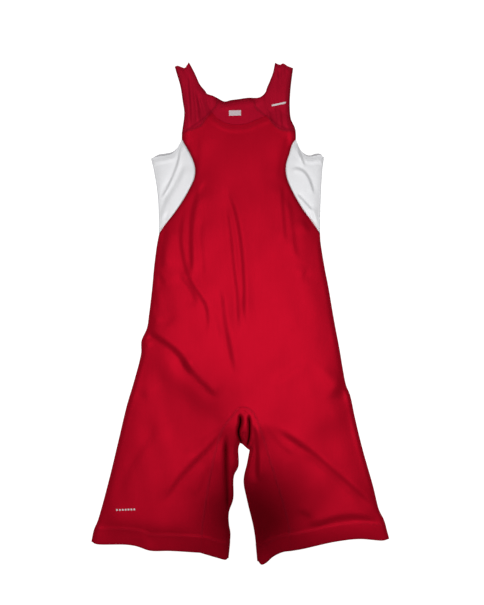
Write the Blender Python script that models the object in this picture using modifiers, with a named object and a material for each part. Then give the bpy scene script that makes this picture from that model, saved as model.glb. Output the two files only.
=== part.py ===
"""Athletics bodysuit, laid flat on its back with its front up.

A sleeveless track suit of stretch knit with legs to the knee. The neck points to +Y, the
wearer's left is +X and the back lies on the plane z = 0. Every piece that is cut and sewn is
one object: a front, a back, two side panels folded round the sides, two shoulder pieces folded
over the shoulders and one gusset folded along both inner legs.

Outlines, seams and folds are in millimetres from the middle of the garment's box.
"""
import math

import bmesh
import bpy
import numpy as np

MM = 0.001

# Cloth and layers
CLOTH = 1.0
SEAM_GAP = 0.3
FOLD_RADIUS = 1.3
BACK_Z = CLOTH / 2
FOLD_Z = BACK_Z + FOLD_RADIUS
FRONT_Z = BACK_Z + 2 * FOLD_RADIUS
FOLD_INSET = FOLD_RADIUS + CLOTH / 2
FOLD_LIP = 0.45

# Loft of the front over the back
PUFF = 1.8
PUFF_REACH = 32.0
FOLD_REACH = 14.0
CROTCH_RISE = 6.0
CROTCH_CENTRE = (6, -232)
CROTCH_SPREAD = 42.0
CROTCH_REACH = 12.0
HEM_BAND = 33.0
HEM_STEP = 4.0
HEM_RISE = 0.5

# Mesh steps, all even, because the back takes every second row
ARMHOLE_ROWS = 2
PANEL_ROWS = 10
WAIST_ROWS = 12
LEG_ROWS = 14
CROTCH_ROWS = 4
EDGE_STEPS = 3
RAGLAN_STEPS = 11
NECK_STEPS = {"front": 8, "back": 4}
FOLD_STEPS = 4
PANEL_STEPS = {"front": 6, "back": 4}
GUSSET_STEPS = {"front": 7, "back": 3}
STRAP_ROWS = {"front": 9, "back": 7}
LEG_GRADE = 1.5
STRAP_GRADE = 1.3
CURVE_STEPS = 12
HEM_BEND = 0.2
PANEL_LEAD = 18.0
TIP_SETBACK = 2.5
TIP_ANGLE = math.radians(15)
TIP_OPENING = 0.65

TIP_ROW = ARMHOLE_ROWS + PANEL_ROWS
CROTCH_ROW = TIP_ROW + WAIST_ROWS
LAST_ROW = CROTCH_ROW + LEG_ROWS

# Outlines of each side: lines run from the top down, or from the armhole to the neck or to the middle
OUTLINES = {
    "right": {
        "armhole": ((-116.5, 359), (-116.5, 353), (-116.7, 347.5)),
        "panel_seam": ((-116.7, 347.5), (-102.5, 323), (-93.7, 304), (-90, 288), (-92, 270), (-102.5, 247),
                       (-117, 222), (-134.5, 197), (-150.5, 177), (-162, 160)),
        "panel_edge_front": ((-117, 346.5), (-125.5, 331), (-136, 319.5), (-150, 315), (-165, 312.5),
                             (-178, 308)),
        "panel_edge_back": ((-117, 346.5), (-124.5, 333), (-134.5, 323.5), (-149.5, 320), (-164, 318),
                            (-178, 311)),
        "panel_fold": ((-178, 310), (-171.5, 279), (-166.3, 247), (-164, 221), (-162.5, 183), (-162, 160)),
        "waist_fold": ((-162, 160), (-166.5, 137), (-172, 95), (-176.5, 47), (-182.5, -3), (-186.5, -29),
                       (-197.5, -55), (-198, -78), (-203, -102)),
        "leg_fold": ((-203, -102), (-214.5, -143), (-226.5, -183), (-242.5, -250), (-262.5, -333),
                     (-284.5, -413), (-292.5, -433), (-297.3, -456)),
        "hem": ((-297.3, -456), (-290, -460), (-229, -461.5), (-208, -464.5), (-180, -473.5), (-141, -474),
                (-80.5, -477.5)),
        "gusset_hem": ((-80.5, -477.5), (-65.5, -482), (-45, -488), (-27.5, -492), (-23.7, -489)),
        "gusset_seam": ((4.5, -187.5), (-1, -188.5), (-8.5, -194), (-14.5, -203), (-24.5, -215),
                        (-36.5, -233),
                        (-46.5, -263), (-54.5, -297), (-62.5, -337), (-74.5, -413), (-80.5, -477.5)),
        "inner_leg": ((-0.5, -259), (-3.5, -269), (-3.5, -305), (-12.5, -325), (-14, -371), (-22.5, -397),
                      (-22.5, -421), (-19.5, -439), (-21, -463), (-23.7, -489)),
        "raglan_front": ((-116.5, 359), (-102.5, 365), (-78.5, 375), (-68.5, 389), (-56.5, 401)),
        "neck_front": ((-56.5, 401), (-44.5, 389), (-32.5, 381), (-16.5, 377), (-0.5, 376.4)),
        "raglan_back": ((-116.5, 359), (-100, 370), (-80, 384), (-58.5, 403), (-46.5, 418), (-44.5, 430)),
        "neck_back": ((-44.5, 430), (-37, 425.5), (-30.5, 423.5), (-18.5, 426.4), (-6, 428)),
        "strap_armhole": ((-116.5, 359), (-111.5, 399), (-114.5, 423), (-119, 453), (-126.5, 479),
                          (-130.5, 493)),
        "strap_neck_front": ((-56.5, 401), (-66, 420), (-67.5, 440), (-80.5, 457), (-90.5, 479),
                             (-102.5, 502)),
        "strap_neck_back": ((-44.5, 430), (-53.5, 434.5), (-67.5, 440), (-80.5, 457), (-90.5, 479),
                            (-102.5, 502)),
        "strap_top": ((-130.5, 493), (-126, 495), (-110.5, 491), (-105.5, 497), (-102.5, 502)),
    },
    "left": {
        "armhole": ((110.3, 365), (111, 356), (111, 348)),
        "panel_seam": ((111, 348), (103.7, 337.5), (98, 319), (92, 299.5), (91, 285), (93.5, 270),
                       (101, 251), (112.5, 229), (126, 207), (143.5, 183.5), (159.5, 160)),
        "panel_edge_front": ((112, 347), (119.5, 328), (130, 316), (141, 313), (161, 315), (167, 311)),
        "panel_edge_back": ((112, 347), (121.5, 326), (131.5, 318), (140.5, 316.5), (150.5, 320),
                            (161, 320.5), (167, 315)),
        "panel_fold": ((167, 313), (164, 285), (161.7, 249.5), (160.3, 213), (159.5, 183.5), (159.5, 160)),
        "waist_fold": ((159.5, 160), (160.5, 143), (169.5, 87), (175.5, 57), (187.5, -13), (199.5, -77),
                       (203.5, -102)),
        "leg_fold": ((203.5, -102), (211.5, -143), (219.5, -163), (229.5, -209), (243.5, -267),
                     (266, -346.5), (277.5, -392.5), (287, -411.5), (292.7, -432.5), (297.5, -450)),
        "hem": ((297.5, -450), (287, -453), (239, -450), (189.5, -455.5), (124.5, -470), (101.5, -474)),
        "gusset_hem": ((101.5, -474), (86, -476), (67, -484.5), (49.5, -499), (41, -501.8), (34.3, -495)),
        "gusset_seam": ((4.5, -187.5), (10, -187.5), (19.5, -191), (27.5, -199), (33.5, -213), (47.5, -253),
                        (61.5, -299), (81.5, -363), (95.5, -417), (101.5, -474)),
        "inner_leg": ((18.5, -273), (13.5, -299), (6.5, -334), (13.5, -373), (27.5, -433), (34.3, -495)),
        "raglan_front": ((110.3, 365), (99.5, 364), (83.5, 366), (71.5, 373), (51.5, 395)),
        "neck_front": ((51.5, 395), (43.5, 391), (29.5, 385), (15.5, 379), (-0.5, 376.4)),
        "raglan_back": ((110.3, 365), (85, 371), (65, 384), (43.5, 401), (31.5, 411), (25.5, 431)),
        "neck_back": ((25.5, 431), (15.5, 431), (-6, 428)),
        "strap_armhole": ((110.3, 365), (108, 373), (101, 388), (98.5, 413), (100, 447), (103.5, 477),
                          (105.5, 490)),
        "strap_neck_front": ((51.5, 395), (52, 421), (51.5, 444), (59.5, 465), (65.5, 481), (69.5, 501)),
        "strap_neck_back": ((25.5, 431), (35.5, 431), (43.5, 434.5), (51.5, 444), (59.5, 465), (65.5, 481),
                            (69.5, 501)),
        "strap_top": ((105.5, 490), (95.5, 494), (85.5, 500), (79.5, 497), (69.5, 501)),
    },
}
MIDDLE = {
    "front": ((-0.5, 376.4), (1.5, 250), (3.5, 0), (4.5, -187.5)),
    "back": ((-6, 428), (-1.5, 250), (3, 0), (4.5, -187.5)),
}
CROTCH_EDGE = ((-0.5, -259), (4, -261), (9, -265.5), (14, -270), (18.5, -273))

# Which way the wearer's middle lies from a line that runs down each side: 1 to its left, -1 to its right
TURN = {"right": 1, "left": -1}

# Creases of the front: the line that each follows, how broad it is and how deep. Each is a trough with
# a lower roll on both sides.
CREASES = (
    {"name": "right waist", "width": 9, "depth": 2.2,
     "line": ((-80, 263), (-94, 207), (-99, 150), (-97, 80), (-75, 21), (-65, -33))},
    {"name": "right rib", "width": 8, "depth": 0.9, "line": ((-111, 157), (-111, 97), (-92, 40))},
    {"name": "middle, first", "width": 8, "depth": 1.5,
     "line": ((-35, 243), (-20, 191), (-14, 100), (-3, -63))},
    {"name": "middle, second", "width": 8, "depth": 1.8,
     "line": ((-27, 265), (-3, 147), (6, 40), (14, -43))},
    {"name": "right belly", "width": 9, "depth": 1.5,
     "line": ((-43, 53), (-32, -3), (-22, -63), (-10, -137))},
    {"name": "left waist, inner", "width": 8, "depth": 0.8, "line": ((81, 237), (87, 157), (94, 107))},
    {"name": "left waist, outer", "width": 8, "depth": 1.0, "line": ((95, 217), (105, 157), (116, 111))},
    {"name": "right hip", "width": 12, "depth": 3.2,
     "line": ((-185, -33), (-160, -53), (-130, -77), (-106, -107), (-74, -137), (-58, -155))},
    {"name": "left hip", "width": 11, "depth": 1.6, "line": ((210, -129), (195, -145), (178, -153))},
    {"name": "left groin", "width": 12, "depth": 0.8, "line": ((110, -111), (79, -123), (59, -149))},
    {"name": "right thigh", "width": 12, "depth": 3.0,
     "line": ((-17, -213), (-60, -267), (-100, -313), (-160, -379))},
    {"name": "right thigh, outer", "width": 12, "depth": 1.4,
     "line": ((-155, -219), (-184, -263), (-244, -357))},
    {"name": "right inner leg", "width": 7, "depth": 3.0, "line": ((-28, -255), (-30, -323), (-27, -395))},
    {"name": "left thigh", "width": 13, "depth": 3.6,
     "line": ((44, -207), (90, -233), (140, -269), (190, -307), (230, -345), (276, -391))},
    {"name": "left thigh, middle", "width": 11, "depth": 1.4, "line": ((50, -222), (70, -245), (110, -283))},
    {"name": "left thigh, lower", "width": 10, "depth": 1.4,
     "line": ((120, -280), (190, -326), (216, -350))},
    {"name": "left inner leg", "width": 7, "depth": 2.6, "line": ((31, -223), (34, -283), (36, -335))},
    {"name": "left hem", "width": 10, "depth": 1.6, "line": ((148, -427), (190, -416), (255, -409))},
    {"name": "crotch, right slit", "width": 4, "depth": 5.0, "line": ((-1, -203), (-4, -229), (0, -256))},
    {"name": "crotch, left slit", "width": 4, "depth": 5.0, "line": ((16, -203), (20, -233), (14, -262))},
    {"name": "right panel, upper", "width": 7, "depth": 1.6,
     "line": ((-120, 327), (-140, 275), (-160, 230))},
    {"name": "right panel, lower", "width": 8, "depth": 2.0,
     "line": ((-112, 311), (-130, 261), (-158, 205))},
    {"name": "left panel, upper", "width": 7, "depth": 1.6, "line": ((114, 335), (119, 315), (130, 292))},
    {"name": "left panel, lower", "width": 8, "depth": 1.8, "line": ((112, 290), (136, 268), (147, 235))},
)
CREASE_SHARPNESS = 2
CREASE_ROLL_AT = 1.6
CREASE_ROLL_HEIGHT = 0.45
CREASE_REACH = 4
CREASE_TAPER = 0.22
CREASE_END_DEPTH = 0.25

# Gathers of the shoulder pieces: crests on every second column, strongest beside the front raglan seam
GATHER_HEIGHT = 1.1
GATHER_REACH = 0.55

COLOURS = {
    "red_knit": {"colour": (0.45, 0.006, 0.018, 1), "roughness": 0.62},
    "strap_knit": {"colour": (0.27, 0.006, 0.016, 1), "roughness": 0.8},
    "white_knit": {"colour": (0.75, 0.76, 0.79, 1), "roughness": 0.6},
}


def ease(value):
    """Rises smoothly from 0 to 1 while value goes from 0 to 1."""
    value = np.clip(value, 0.0, 1.0)
    return value * value * (3 - 2 * value)


def smooth(points, fractions):
    """Points at these fractions of the length of a smooth line through the given points."""
    points = np.array(points, float)
    spans = np.linalg.norm(np.diff(points, axis=0), axis=1)
    knots = np.concatenate([[0.0], np.cumsum(np.sqrt(spans))])
    slopes = np.gradient(points, knots, axis=0)
    fine = []
    for index, width in enumerate(np.diff(knots)):
        step = np.linspace(0, 1, CURVE_STEPS, endpoint=False)[:, None]
        start, end = points[index], points[index + 1]
        leave, arrive = slopes[index] * width, slopes[index + 1] * width
        fine.append((2 * step**3 - 3 * step**2 + 1) * start + (step**3 - 2 * step**2 + step) * leave
                    + (3 * step**2 - 2 * step**3) * end + (step**3 - step**2) * arrive)
    fine = np.vstack(fine + [points[-1:]])
    lengths = np.concatenate([[0.0], np.cumsum(np.linalg.norm(np.diff(fine, axis=0), axis=1))])
    wanted = np.array(fractions) * lengths[-1]
    return np.column_stack([np.interp(wanted, lengths, fine[:, axis]) for axis in (0, 1)])


def length_of(points):
    """Length of a smooth line through the given points."""
    fine = smooth(points, np.linspace(0, 1, CURVE_STEPS * len(points)))
    return np.linalg.norm(np.diff(fine, axis=0), axis=1).sum()


def left_of(line):
    """Unit vectors to the left of each point of a line."""
    ahead = np.gradient(line, axis=0)
    ahead /= np.linalg.norm(ahead, axis=1)[:, None]
    return np.column_stack([-ahead[:, 1], ahead[:, 0]])


def distance_to(line, x, y):
    """Distance from each point (x, y) to a line, and how far along the line the nearest point lies."""
    best = np.full(np.shape(x), 1e9)
    along = np.zeros(np.shape(x))
    for index in range(len(line) - 1):
        start, span = line[index], line[index + 1] - line[index]
        share = np.clip(((x - start[0]) * span[0] + (y - start[1]) * span[1]) / (span @ span), 0, 1)
        away = np.hypot(x - start[0] - share * span[0], y - start[1] - share * span[1])
        nearer = away < best
        best = np.where(nearer, away, best)
        along = np.where(nearer, (index + share) / (len(line) - 1), along)
    return best, along


def even(steps):
    return np.linspace(0, 1, steps + 1)


def drawn(points):
    return smooth(points, even(2 * CURVE_STEPS))


FOLDED_EDGES = [drawn(OUTLINES[side][name]) for side in OUTLINES
                for name in ("panel_fold", "waist_fold", "leg_fold", "inner_leg", "strap_top")]
FOLDED_EDGES.append(drawn(CROTCH_EDGE))
HEMS = [drawn(OUTLINES[side][name]) for side in OUTLINES for name in ("hem", "gusset_hem")]
CREASE_LINES = [drawn(crease["line"]) for crease in CREASES]


def front_height(x, y):
    """Height of the middle of the front layer over the floor."""
    from_fold = np.min([distance_to(edge, x, y)[0] for edge in FOLDED_EDGES], axis=0) - FOLD_INSET
    from_hem = np.min([distance_to(edge, x, y)[0] for edge in HEMS], axis=0)
    loft = PUFF * ease(from_fold / PUFF_REACH)
    crotch = np.hypot(x - CROTCH_CENTRE[0], y - CROTCH_CENTRE[1]) / CROTCH_SPREAD
    loft = loft + CROTCH_RISE * np.exp(-crotch**2) * ease(from_fold / CROTCH_REACH)
    creases = 0.0
    for crease, line in zip(CREASES, CREASE_LINES):
        away, along = distance_to(line, x, y)
        across = away / crease["width"]
        roll = CREASE_ROLL_HEIGHT * np.exp(-CREASE_SHARPNESS * (across - CREASE_ROLL_AT)**2)
        trough = np.exp(-CREASE_SHARPNESS * across**2)
        taper = ease(along / CREASE_TAPER) * ease((1 - along) / CREASE_TAPER)
        depth = crease["depth"] * (CREASE_END_DEPTH + (1 - CREASE_END_DEPTH) * taper)
        creases = creases + depth * (roll - trough) * (across < CREASE_REACH)
    loft = np.maximum(loft + creases * ease(from_fold / FOLD_REACH), 0)
    band = HEM_RISE * ease((HEM_BAND - from_hem) / HEM_STEP) * ease(from_fold / HEM_STEP)
    return FRONT_Z + loft + band


def on_layer(points, layer):
    """Gives points of the front or the back layer their height."""
    points = np.array(points, float)
    if layer == "front":
        heights = front_height(points[..., 0], points[..., 1])
    else:
        heights = np.full(points.shape[:-1], BACK_Z)
    return np.concatenate([points, heights[..., None]], axis=-1)


def fold_points(start, outward, angles):
    """Points round a fold, from the front layer at angle 0 to the back layer at half a turn."""
    outward = np.array(outward)
    return [(*(start + outward * FOLD_RADIUS * math.sin(angle)), FOLD_Z + FOLD_RADIUS * math.cos(angle))
            for angle in angles]


def side_seam_lip(start, outward, layer, opening):
    """Edge of the front or back where it turns into the side fold, from its end to the flat."""
    up = 1 if layer == "front" else -1
    end = start + outward * FOLD_RADIUS
    half_way = math.sqrt(0.5)
    bend = start + outward * FOLD_RADIUS * half_way
    return [(*end, FOLD_Z + up * opening),
            (*end, FOLD_Z + up * max(FOLD_LIP, opening + FOLD_LIP / 2)),
            (*bend, FOLD_Z + up * (FOLD_LIP + (FOLD_RADIUS - FOLD_LIP) * half_way))]


def patch(first, last, start_row, end_row, start_fade, end_fade):
    """Fills in points between two side lines, bent near both ends to follow the end rows."""
    first, last = first.copy(), last.copy()
    first[0], last[0] = start_row[0], start_row[-1]
    first[-1], last[-1] = end_row[0], end_row[-1]
    across = np.linspace(0, 1, len(start_row))[None, :, None]
    rows = first[:, None, :] * (1 - across) + last[:, None, :] * across
    start_bend = (start_row - rows[0])[None]
    end_bend = (end_row - rows[-1])[None]
    return rows + start_fade[:, None, None] * start_bend + end_fade[:, None, None] * end_bend


def leg_fractions(length, grade):
    """Stations down a leg, closer at the top, with a short step at the top of the hem band."""
    upper = np.linspace(0, 1, LEG_ROWS - 1) ** grade
    return np.concatenate([upper * (1 - (HEM_BAND + HEM_STEP) / length), [1 - HEM_BAND / length, 1]])


def panel_seam(side):
    """Stations of the seam between body and side panel, and the way into the body at each."""
    line = smooth(OUTLINES[side]["panel_seam"], even(PANEL_ROWS))
    return line, TURN[side] * left_of(line)


def raglan(side, layer):
    """Stations of a raglan seam from armhole to neck, and the way into the body at each."""
    line = smooth(OUTLINES[side]["raglan_" + layer], even(RAGLAN_STEPS))
    return line, -TURN[side] * left_of(line)


def gusset_seam(side):
    """Stations of a gusset seam from the crotch to the hem, and the way into the body at each."""
    points = OUTLINES[side]["gusset_seam"]
    line = smooth(points, leg_fractions(length_of(points), LEG_GRADE))
    into_body = -TURN[side] * left_of(line)
    into_body[0] = (0, 1)
    return line, into_body


def body_side(side, layer):
    """Rows of points for one half of the front or back, each from the side to the middle."""
    outline = OUTLINES[side]
    seam, into_body = panel_seam(side)
    armhole = smooth(outline["armhole"], even(ARMHOLE_ROWS))[:-1]
    fold = np.vstack([smooth(outline["waist_fold"], even(WAIST_ROWS)),
                      smooth(outline["leg_fold"], leg_fractions(length_of(outline["leg_fold"]), 1.0))[1:]])
    edge = np.vstack([armhole, seam[:-1], fold])
    inward = np.vstack([np.repeat(into_body[:1], ARMHOLE_ROWS, axis=0), into_body[:-1],
                        TURN[side] * left_of(fold)])
    edge[:TIP_ROW] += inward[:TIP_ROW] * SEAM_GAP / 2
    top, into_top = raglan(side, layer)
    top = top + into_top * SEAM_GAP / 2
    beside_raglan = (top[EDGE_STEPS] - top[0]) / np.linalg.norm(top[EDGE_STEPS] - top[0])
    turned = ease(np.arange(TIP_ROW) / TIP_ROW * 2)[:, None]
    inward[:TIP_ROW] = beside_raglan * (1 - turned) + inward[:TIP_ROW] * turned
    inward /= np.linalg.norm(inward, axis=1)[:, None]
    lead = np.full(len(edge), FOLD_INSET)
    lead[:TIP_ROW] += (PANEL_LEAD - FOLD_INSET) * (1 - np.arange(TIP_ROW) / TIP_ROW)
    flat_start = edge + inward * lead[:, None]

    legs, into_leg = gusset_seam(side)
    middle = np.vstack([smooth(MIDDLE[layer], even(CROTCH_ROW)), legs[1:] + into_leg[1:] * SEAM_GAP / 2])
    middle[CROTCH_ROW] += into_leg[0] * SEAM_GAP / 2

    neck = smooth(outline["neck_" + layer], even(NECK_STEPS[layer]))
    top_row = np.vstack([top[EDGE_STEPS:], neck[1:]])
    hem_row = smooth(outline["hem"], even(len(top_row) - 1))
    hem_row[0] = flat_start[-1]
    hem_row[-1] = middle[-1]
    row = np.arange(LAST_ROW + 1)
    down_to_crotch = np.clip(row / CROTCH_ROW, 0, 1)
    down_leg = np.clip((row - CROTCH_ROW) / LEG_ROWS, 0, 1)
    flat = patch(flat_start, middle, top_row, hem_row, (1 - down_to_crotch) ** 2, ease(2 * down_leg - 1))

    rows = []
    for index in range(LAST_ROW + 1):
        if index == 0:
            lip = on_layer(top[:EDGE_STEPS], layer)
        elif index < TIP_ROW:
            steps = np.arange(EDGE_STEPS)[:, None] / EDGE_STEPS
            lip = on_layer(edge[index] + inward[index] * lead[index] * steps, layer)
        else:
            opening = TIP_OPENING if index == TIP_ROW else SEAM_GAP / 2
            lip = side_seam_lip(flat_start[index], -inward[index], layer, opening)
        rows.append([*lip, *on_layer(flat[index], layer)])
    return rows


def body_rows(layer):
    """Both halves of the front or back. They share their middle points above the crotch."""
    step = 1 if layer == "front" else 2
    return [body_side(side, layer)[::step] for side in OUTLINES]


def on_chords(line):
    """Moves every second point of a line to the middle of its neighbours, as the back's rows have it."""
    line = line.copy()
    line[1:-1:2] = (line[:-2:2] + line[2::2]) / 2
    return line


def strip_angles(lowest=0.0):
    """Angles round a fold, from this one to the same one from the back."""
    return np.linspace(lowest, math.pi - lowest, FOLD_STEPS + 1)


def side_panel_rows(side):
    """Rows down one side panel, each from the front seam round the side to the back seam."""
    outline = OUTLINES[side]
    seam, into_body = panel_seam(side)
    seam = seam - into_body * SEAM_GAP / 2
    points = outline["panel_fold"]
    line = smooth(points, even(PANEL_ROWS) * (1 - TIP_SETBACK / length_of(points)))
    outward = -TURN[side] * left_of(line)
    flat_start = line - outward * FOLD_INSET
    fade = (1 - even(PANEL_ROWS)) ** 2
    layers = {}
    for layer, edge_line in (("front", seam), ("back", on_chords(seam))):
        armhole = smooth(outline["panel_edge_" + layer], even(PANEL_STEPS[layer]))
        armhole[0], armhole[-1] = edge_line[0], flat_start[0]
        tip = np.linspace(edge_line[-1], flat_start[-1], PANEL_STEPS[layer] + 1)
        layers[layer] = on_layer(patch(edge_line, flat_start, armhole, tip, fade, 1 - fade), layer)
    rows = []
    for index in range(PANEL_ROWS):
        strip = fold_points(flat_start[index], outward[index], strip_angles()[1:-1])
        rows.append([*layers["front"][index], *strip, *layers["back"][index][::-1]])
    tip = fold_points(flat_start[-1], outward[-1], strip_angles(math.pi / 2 - TIP_ANGLE))
    rows.append([tip[0]] * PANEL_STEPS["front"] + tip + [tip[-1]] * PANEL_STEPS["back"])
    return [rows]


def shoulder_rows(side):
    """Rows of one shoulder piece, from its front raglan seam over the shoulder to the back one."""
    outline = OUTLINES[side]
    top = smooth(outline["strap_top"], even(RAGLAN_STEPS)) - (0, FOLD_INSET)
    layers = {}
    for layer in ("front", "back"):
        stations = even(STRAP_ROWS[layer]) ** STRAP_GRADE
        seam, into_body = raglan(side, layer)
        seam = seam - into_body * SEAM_GAP / 2
        fade = 1 - even(STRAP_ROWS[layer])
        armhole = smooth(outline["strap_armhole"], stations)
        neck = smooth(outline["strap_neck_" + layer], stations)
        flat = patch(armhole, neck, seam, top, fade, 1 - fade)
        layers[layer] = on_layer(flat, layer)
    crests = np.arange(RAGLAN_STEPS + 1) % 2
    crests[-1] = 0
    along = even(STRAP_ROWS["front"])
    fall = ease(along * STRAP_ROWS["front"]) * (1 - GATHER_REACH * along)
    layers["front"][..., 2] += GATHER_HEIGHT * fall[:, None] * crests[None] * (along < 1)[:, None]
    strip = [fold_points(point, (0, 1), strip_angles()[1:-1]) for point in top]
    strip_rows = [[column[index] for column in strip] for index in range(FOLD_STEPS - 1)]
    return [[*layers["front"], *strip_rows, *layers["back"][::-1]]]


def gusset_rows():
    """Rows round the gusset from hem to hem, each from its front seam round the fold to its back seam."""
    right, right_body = gusset_seam("right")
    left, left_body = gusset_seam("left")
    seam = np.vstack([right[::-1] - right_body[::-1] * SEAM_GAP / 2, left[1:] - left_body[1:] * SEAM_GAP / 2])
    beside = CROTCH_ROWS // 2
    inner = []
    for side in ("right", "left"):
        points = OUTLINES[side]["inner_leg"]
        fractions = leg_fractions(length_of(points), LEG_GRADE)
        fractions = np.interp(np.linspace(0, LEG_ROWS - 1, LEG_ROWS - beside),
                              np.arange(LEG_ROWS), fractions[:-1]).tolist() + [1.0]
        inner.append(smooth(points, fractions))
    crotch = smooth(CROTCH_EDGE, even(CROTCH_ROWS))
    line = np.vstack([inner[0][::-1], crotch[1:-1], inner[1]])
    outward = -left_of(line)
    flat_start = line - outward * FOLD_INSET
    share = even(2 * LEG_ROWS)
    hem_fades = ease(1 - share / HEM_BEND), ease(1 - (1 - share) / HEM_BEND)
    layers = {}
    for layer, edge_line in (("front", seam), ("back", on_chords(seam))):
        ends = []
        for side, index in (("right", 0), ("left", -1)):
            hem = smooth(OUTLINES[side]["gusset_hem"], even(GUSSET_STEPS[layer]))
            hem[0], hem[-1] = edge_line[index], flat_start[index]
            ends.append(hem)
        layers[layer] = on_layer(patch(edge_line, flat_start, *ends, *hem_fades), layer)
    rows = []
    for index in range(len(line)):
        strip = fold_points(flat_start[index], outward[index], strip_angles()[1:-1])
        rows.append([*layers["front"][index], *strip, *layers["back"][index][::-1]])
    return [rows]


def material(name):
    finish = bpy.data.materials.new(name)
    finish.use_nodes = True
    shader = finish.node_tree.nodes["Principled BSDF"]
    shader.inputs["Base Color"].default_value = COLOURS[name]["colour"]
    shader.inputs["Roughness"].default_value = COLOURS[name]["roughness"]
    shader.inputs["Metallic"].default_value = 0.0
    return finish


def sew_piece(name, patches, finish, collection):
    """Makes one cut piece: its patches of rows become an open surface, and Solidify gives the wall."""
    shape = bmesh.new()
    known = {}

    def vertex(point):
        key = tuple(round(float(value), 4) for value in point)
        if key not in known:
            known[key] = shape.verts.new([value * MM for value in key])
        return known[key]

    for rows in patches:
        for upper, lower in zip(rows, rows[1:]):
            for column in range(len(upper) - 1):
                corners = [vertex(point) for point in
                           (upper[column], upper[column + 1], lower[column + 1], lower[column])]
                corners = list(dict.fromkeys(corners))
                if len(corners) > 2:
                    shape.faces.new(corners)
    bmesh.ops.recalc_face_normals(shape, faces=shape.faces)
    mesh = bpy.data.meshes.new(name)
    shape.to_mesh(mesh)
    shape.free()
    mesh.shade_smooth()
    mesh.materials.append(finish)
    piece = bpy.data.objects.new(name, mesh)
    collection.objects.link(piece)
    wall = piece.modifiers.new("cloth wall", "SOLIDIFY")
    wall.thickness = CLOTH * MM
    wall.offset = 0
    wall.use_even_offset = True
    return piece


def main():
    for thing in list(bpy.data.objects):
        bpy.data.objects.remove(thing, do_unlink=True)
    collection = bpy.data.collections.new("athletics_bodysuit")
    bpy.context.scene.collection.children.link(collection)
    finishes = {name: material(name) for name in COLOURS}
    sew_piece("front_body", body_rows("front"), finishes["red_knit"], collection)
    sew_piece("back_body", body_rows("back"), finishes["red_knit"], collection)
    for side in OUTLINES:
        sew_piece("side_panel_" + side, side_panel_rows(side), finishes["white_knit"], collection)
        sew_piece("shoulder_" + side, shoulder_rows(side), finishes["strap_knit"], collection)
    sew_piece("gusset", gusset_rows(), finishes["red_knit"], collection)


main()
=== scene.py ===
# %% [markdown]
# # Athletics bodysuit, laid flat
# A sleeveless running suit lies on its back on a pale floor. It is sewn from thin stretch knit: a red
# front and back, white side panels folded round the sides, duller mesh straps folded over the
# shoulders, and a gusset down both inner legs. Cloth has no form of its own, so the work is in three
# things: the outline that each piece is cut to, the height at which every point of it lies, and the
# sewing that holds it together.

# %% Load the frame
import math

import bmesh
import bpy
import numpy as np
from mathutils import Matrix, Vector
from mathutils.bvhtree import BVHTree


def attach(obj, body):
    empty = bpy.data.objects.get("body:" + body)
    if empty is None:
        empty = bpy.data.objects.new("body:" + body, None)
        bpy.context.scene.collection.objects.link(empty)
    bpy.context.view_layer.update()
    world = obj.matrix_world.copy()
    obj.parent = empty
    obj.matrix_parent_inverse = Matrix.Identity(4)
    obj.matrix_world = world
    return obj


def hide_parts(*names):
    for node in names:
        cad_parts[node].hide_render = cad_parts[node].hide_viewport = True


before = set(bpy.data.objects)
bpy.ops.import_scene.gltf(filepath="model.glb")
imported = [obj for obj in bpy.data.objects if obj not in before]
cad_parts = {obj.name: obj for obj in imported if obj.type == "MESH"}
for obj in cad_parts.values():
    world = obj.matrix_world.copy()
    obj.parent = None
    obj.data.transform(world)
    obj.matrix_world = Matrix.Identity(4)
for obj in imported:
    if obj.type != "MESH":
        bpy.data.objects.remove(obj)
bpy.ops.object.select_all(action="DESELECT")
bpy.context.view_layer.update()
MM = 0.001

# %% [markdown]
# ## Camera
# The suit was photographed from straight above. A long lens from high up keeps the outline true, as the
# legs and the straps are then seen at nearly the same angle as the middle.

# %% Camera
VIEW_HEIGHT_SPAN = 1.21
VIEW_CENTRE = (0.0035, 0.022)
CAMERA_HEIGHT = 3.2

camera = bpy.data.objects.new("camera", bpy.data.cameras.new("camera"))
bpy.context.scene.collection.objects.link(camera)
camera.location = (*VIEW_CENTRE, CAMERA_HEIGHT)
camera.data.lens = camera.data.sensor_width * CAMERA_HEIGHT / VIEW_HEIGHT_SPAN
bpy.context.scene.camera = camera
print("lens in mm:", round(camera.data.lens, 1))

# %% [markdown]
# ## Lights
# Thin cloth shows its form by its shading alone. A soft light nearly overhead makes every slope a little
# darker than the flat parts, and narrow troughs the darkest. A weaker one beyond the neck gives each
# crease a bright and a dark side. Both are square lamps, because a small or far lamp draws hard shadows.

# %% Lights
LIGHTS = {
    "soft light overhead": {"place": (0.075, -0.08, 1.9), "size": 0.5, "power": 16.4},
    "soft light beyond the neck": {"place": (-0.82, 1.5, 1.6), "size": 0.7, "power": 8.5},
}
SKY = 0.11

scene = bpy.context.scene
scene.view_settings.view_transform = "Standard"
scene.world = bpy.data.worlds.new("studio")
scene.world.use_nodes = True
sky = scene.world.node_tree.nodes["Background"]
sky.inputs["Color"].default_value = (1, 1, 1, 1)
sky.inputs["Strength"].default_value = SKY
for name, light in LIGHTS.items():
    lamp = bpy.data.objects.new(name, bpy.data.lights.new(name, "AREA"))
    scene.collection.objects.link(lamp)
    lamp.location = light["place"]
    lamp.data.size = light["size"]
    lamp.data.energy = light["power"]
    lamp.rotation_mode = "QUATERNION"
    lamp.rotation_quaternion = (-Vector(light["place"])).to_track_quat("-Z", "Y")
print("lights:", len(LIGHTS))

# %% [markdown]
# ## Black cards and floor
# The inner legs and the right hip lie in a soft shade whose cause is out of view. A photographer would
# keep the light off them with a black card, so two round cards hang there that the camera doesn't see.
# The floor is a plain sheet. It glows a little, so that it stays white where the lights fall off.

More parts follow.
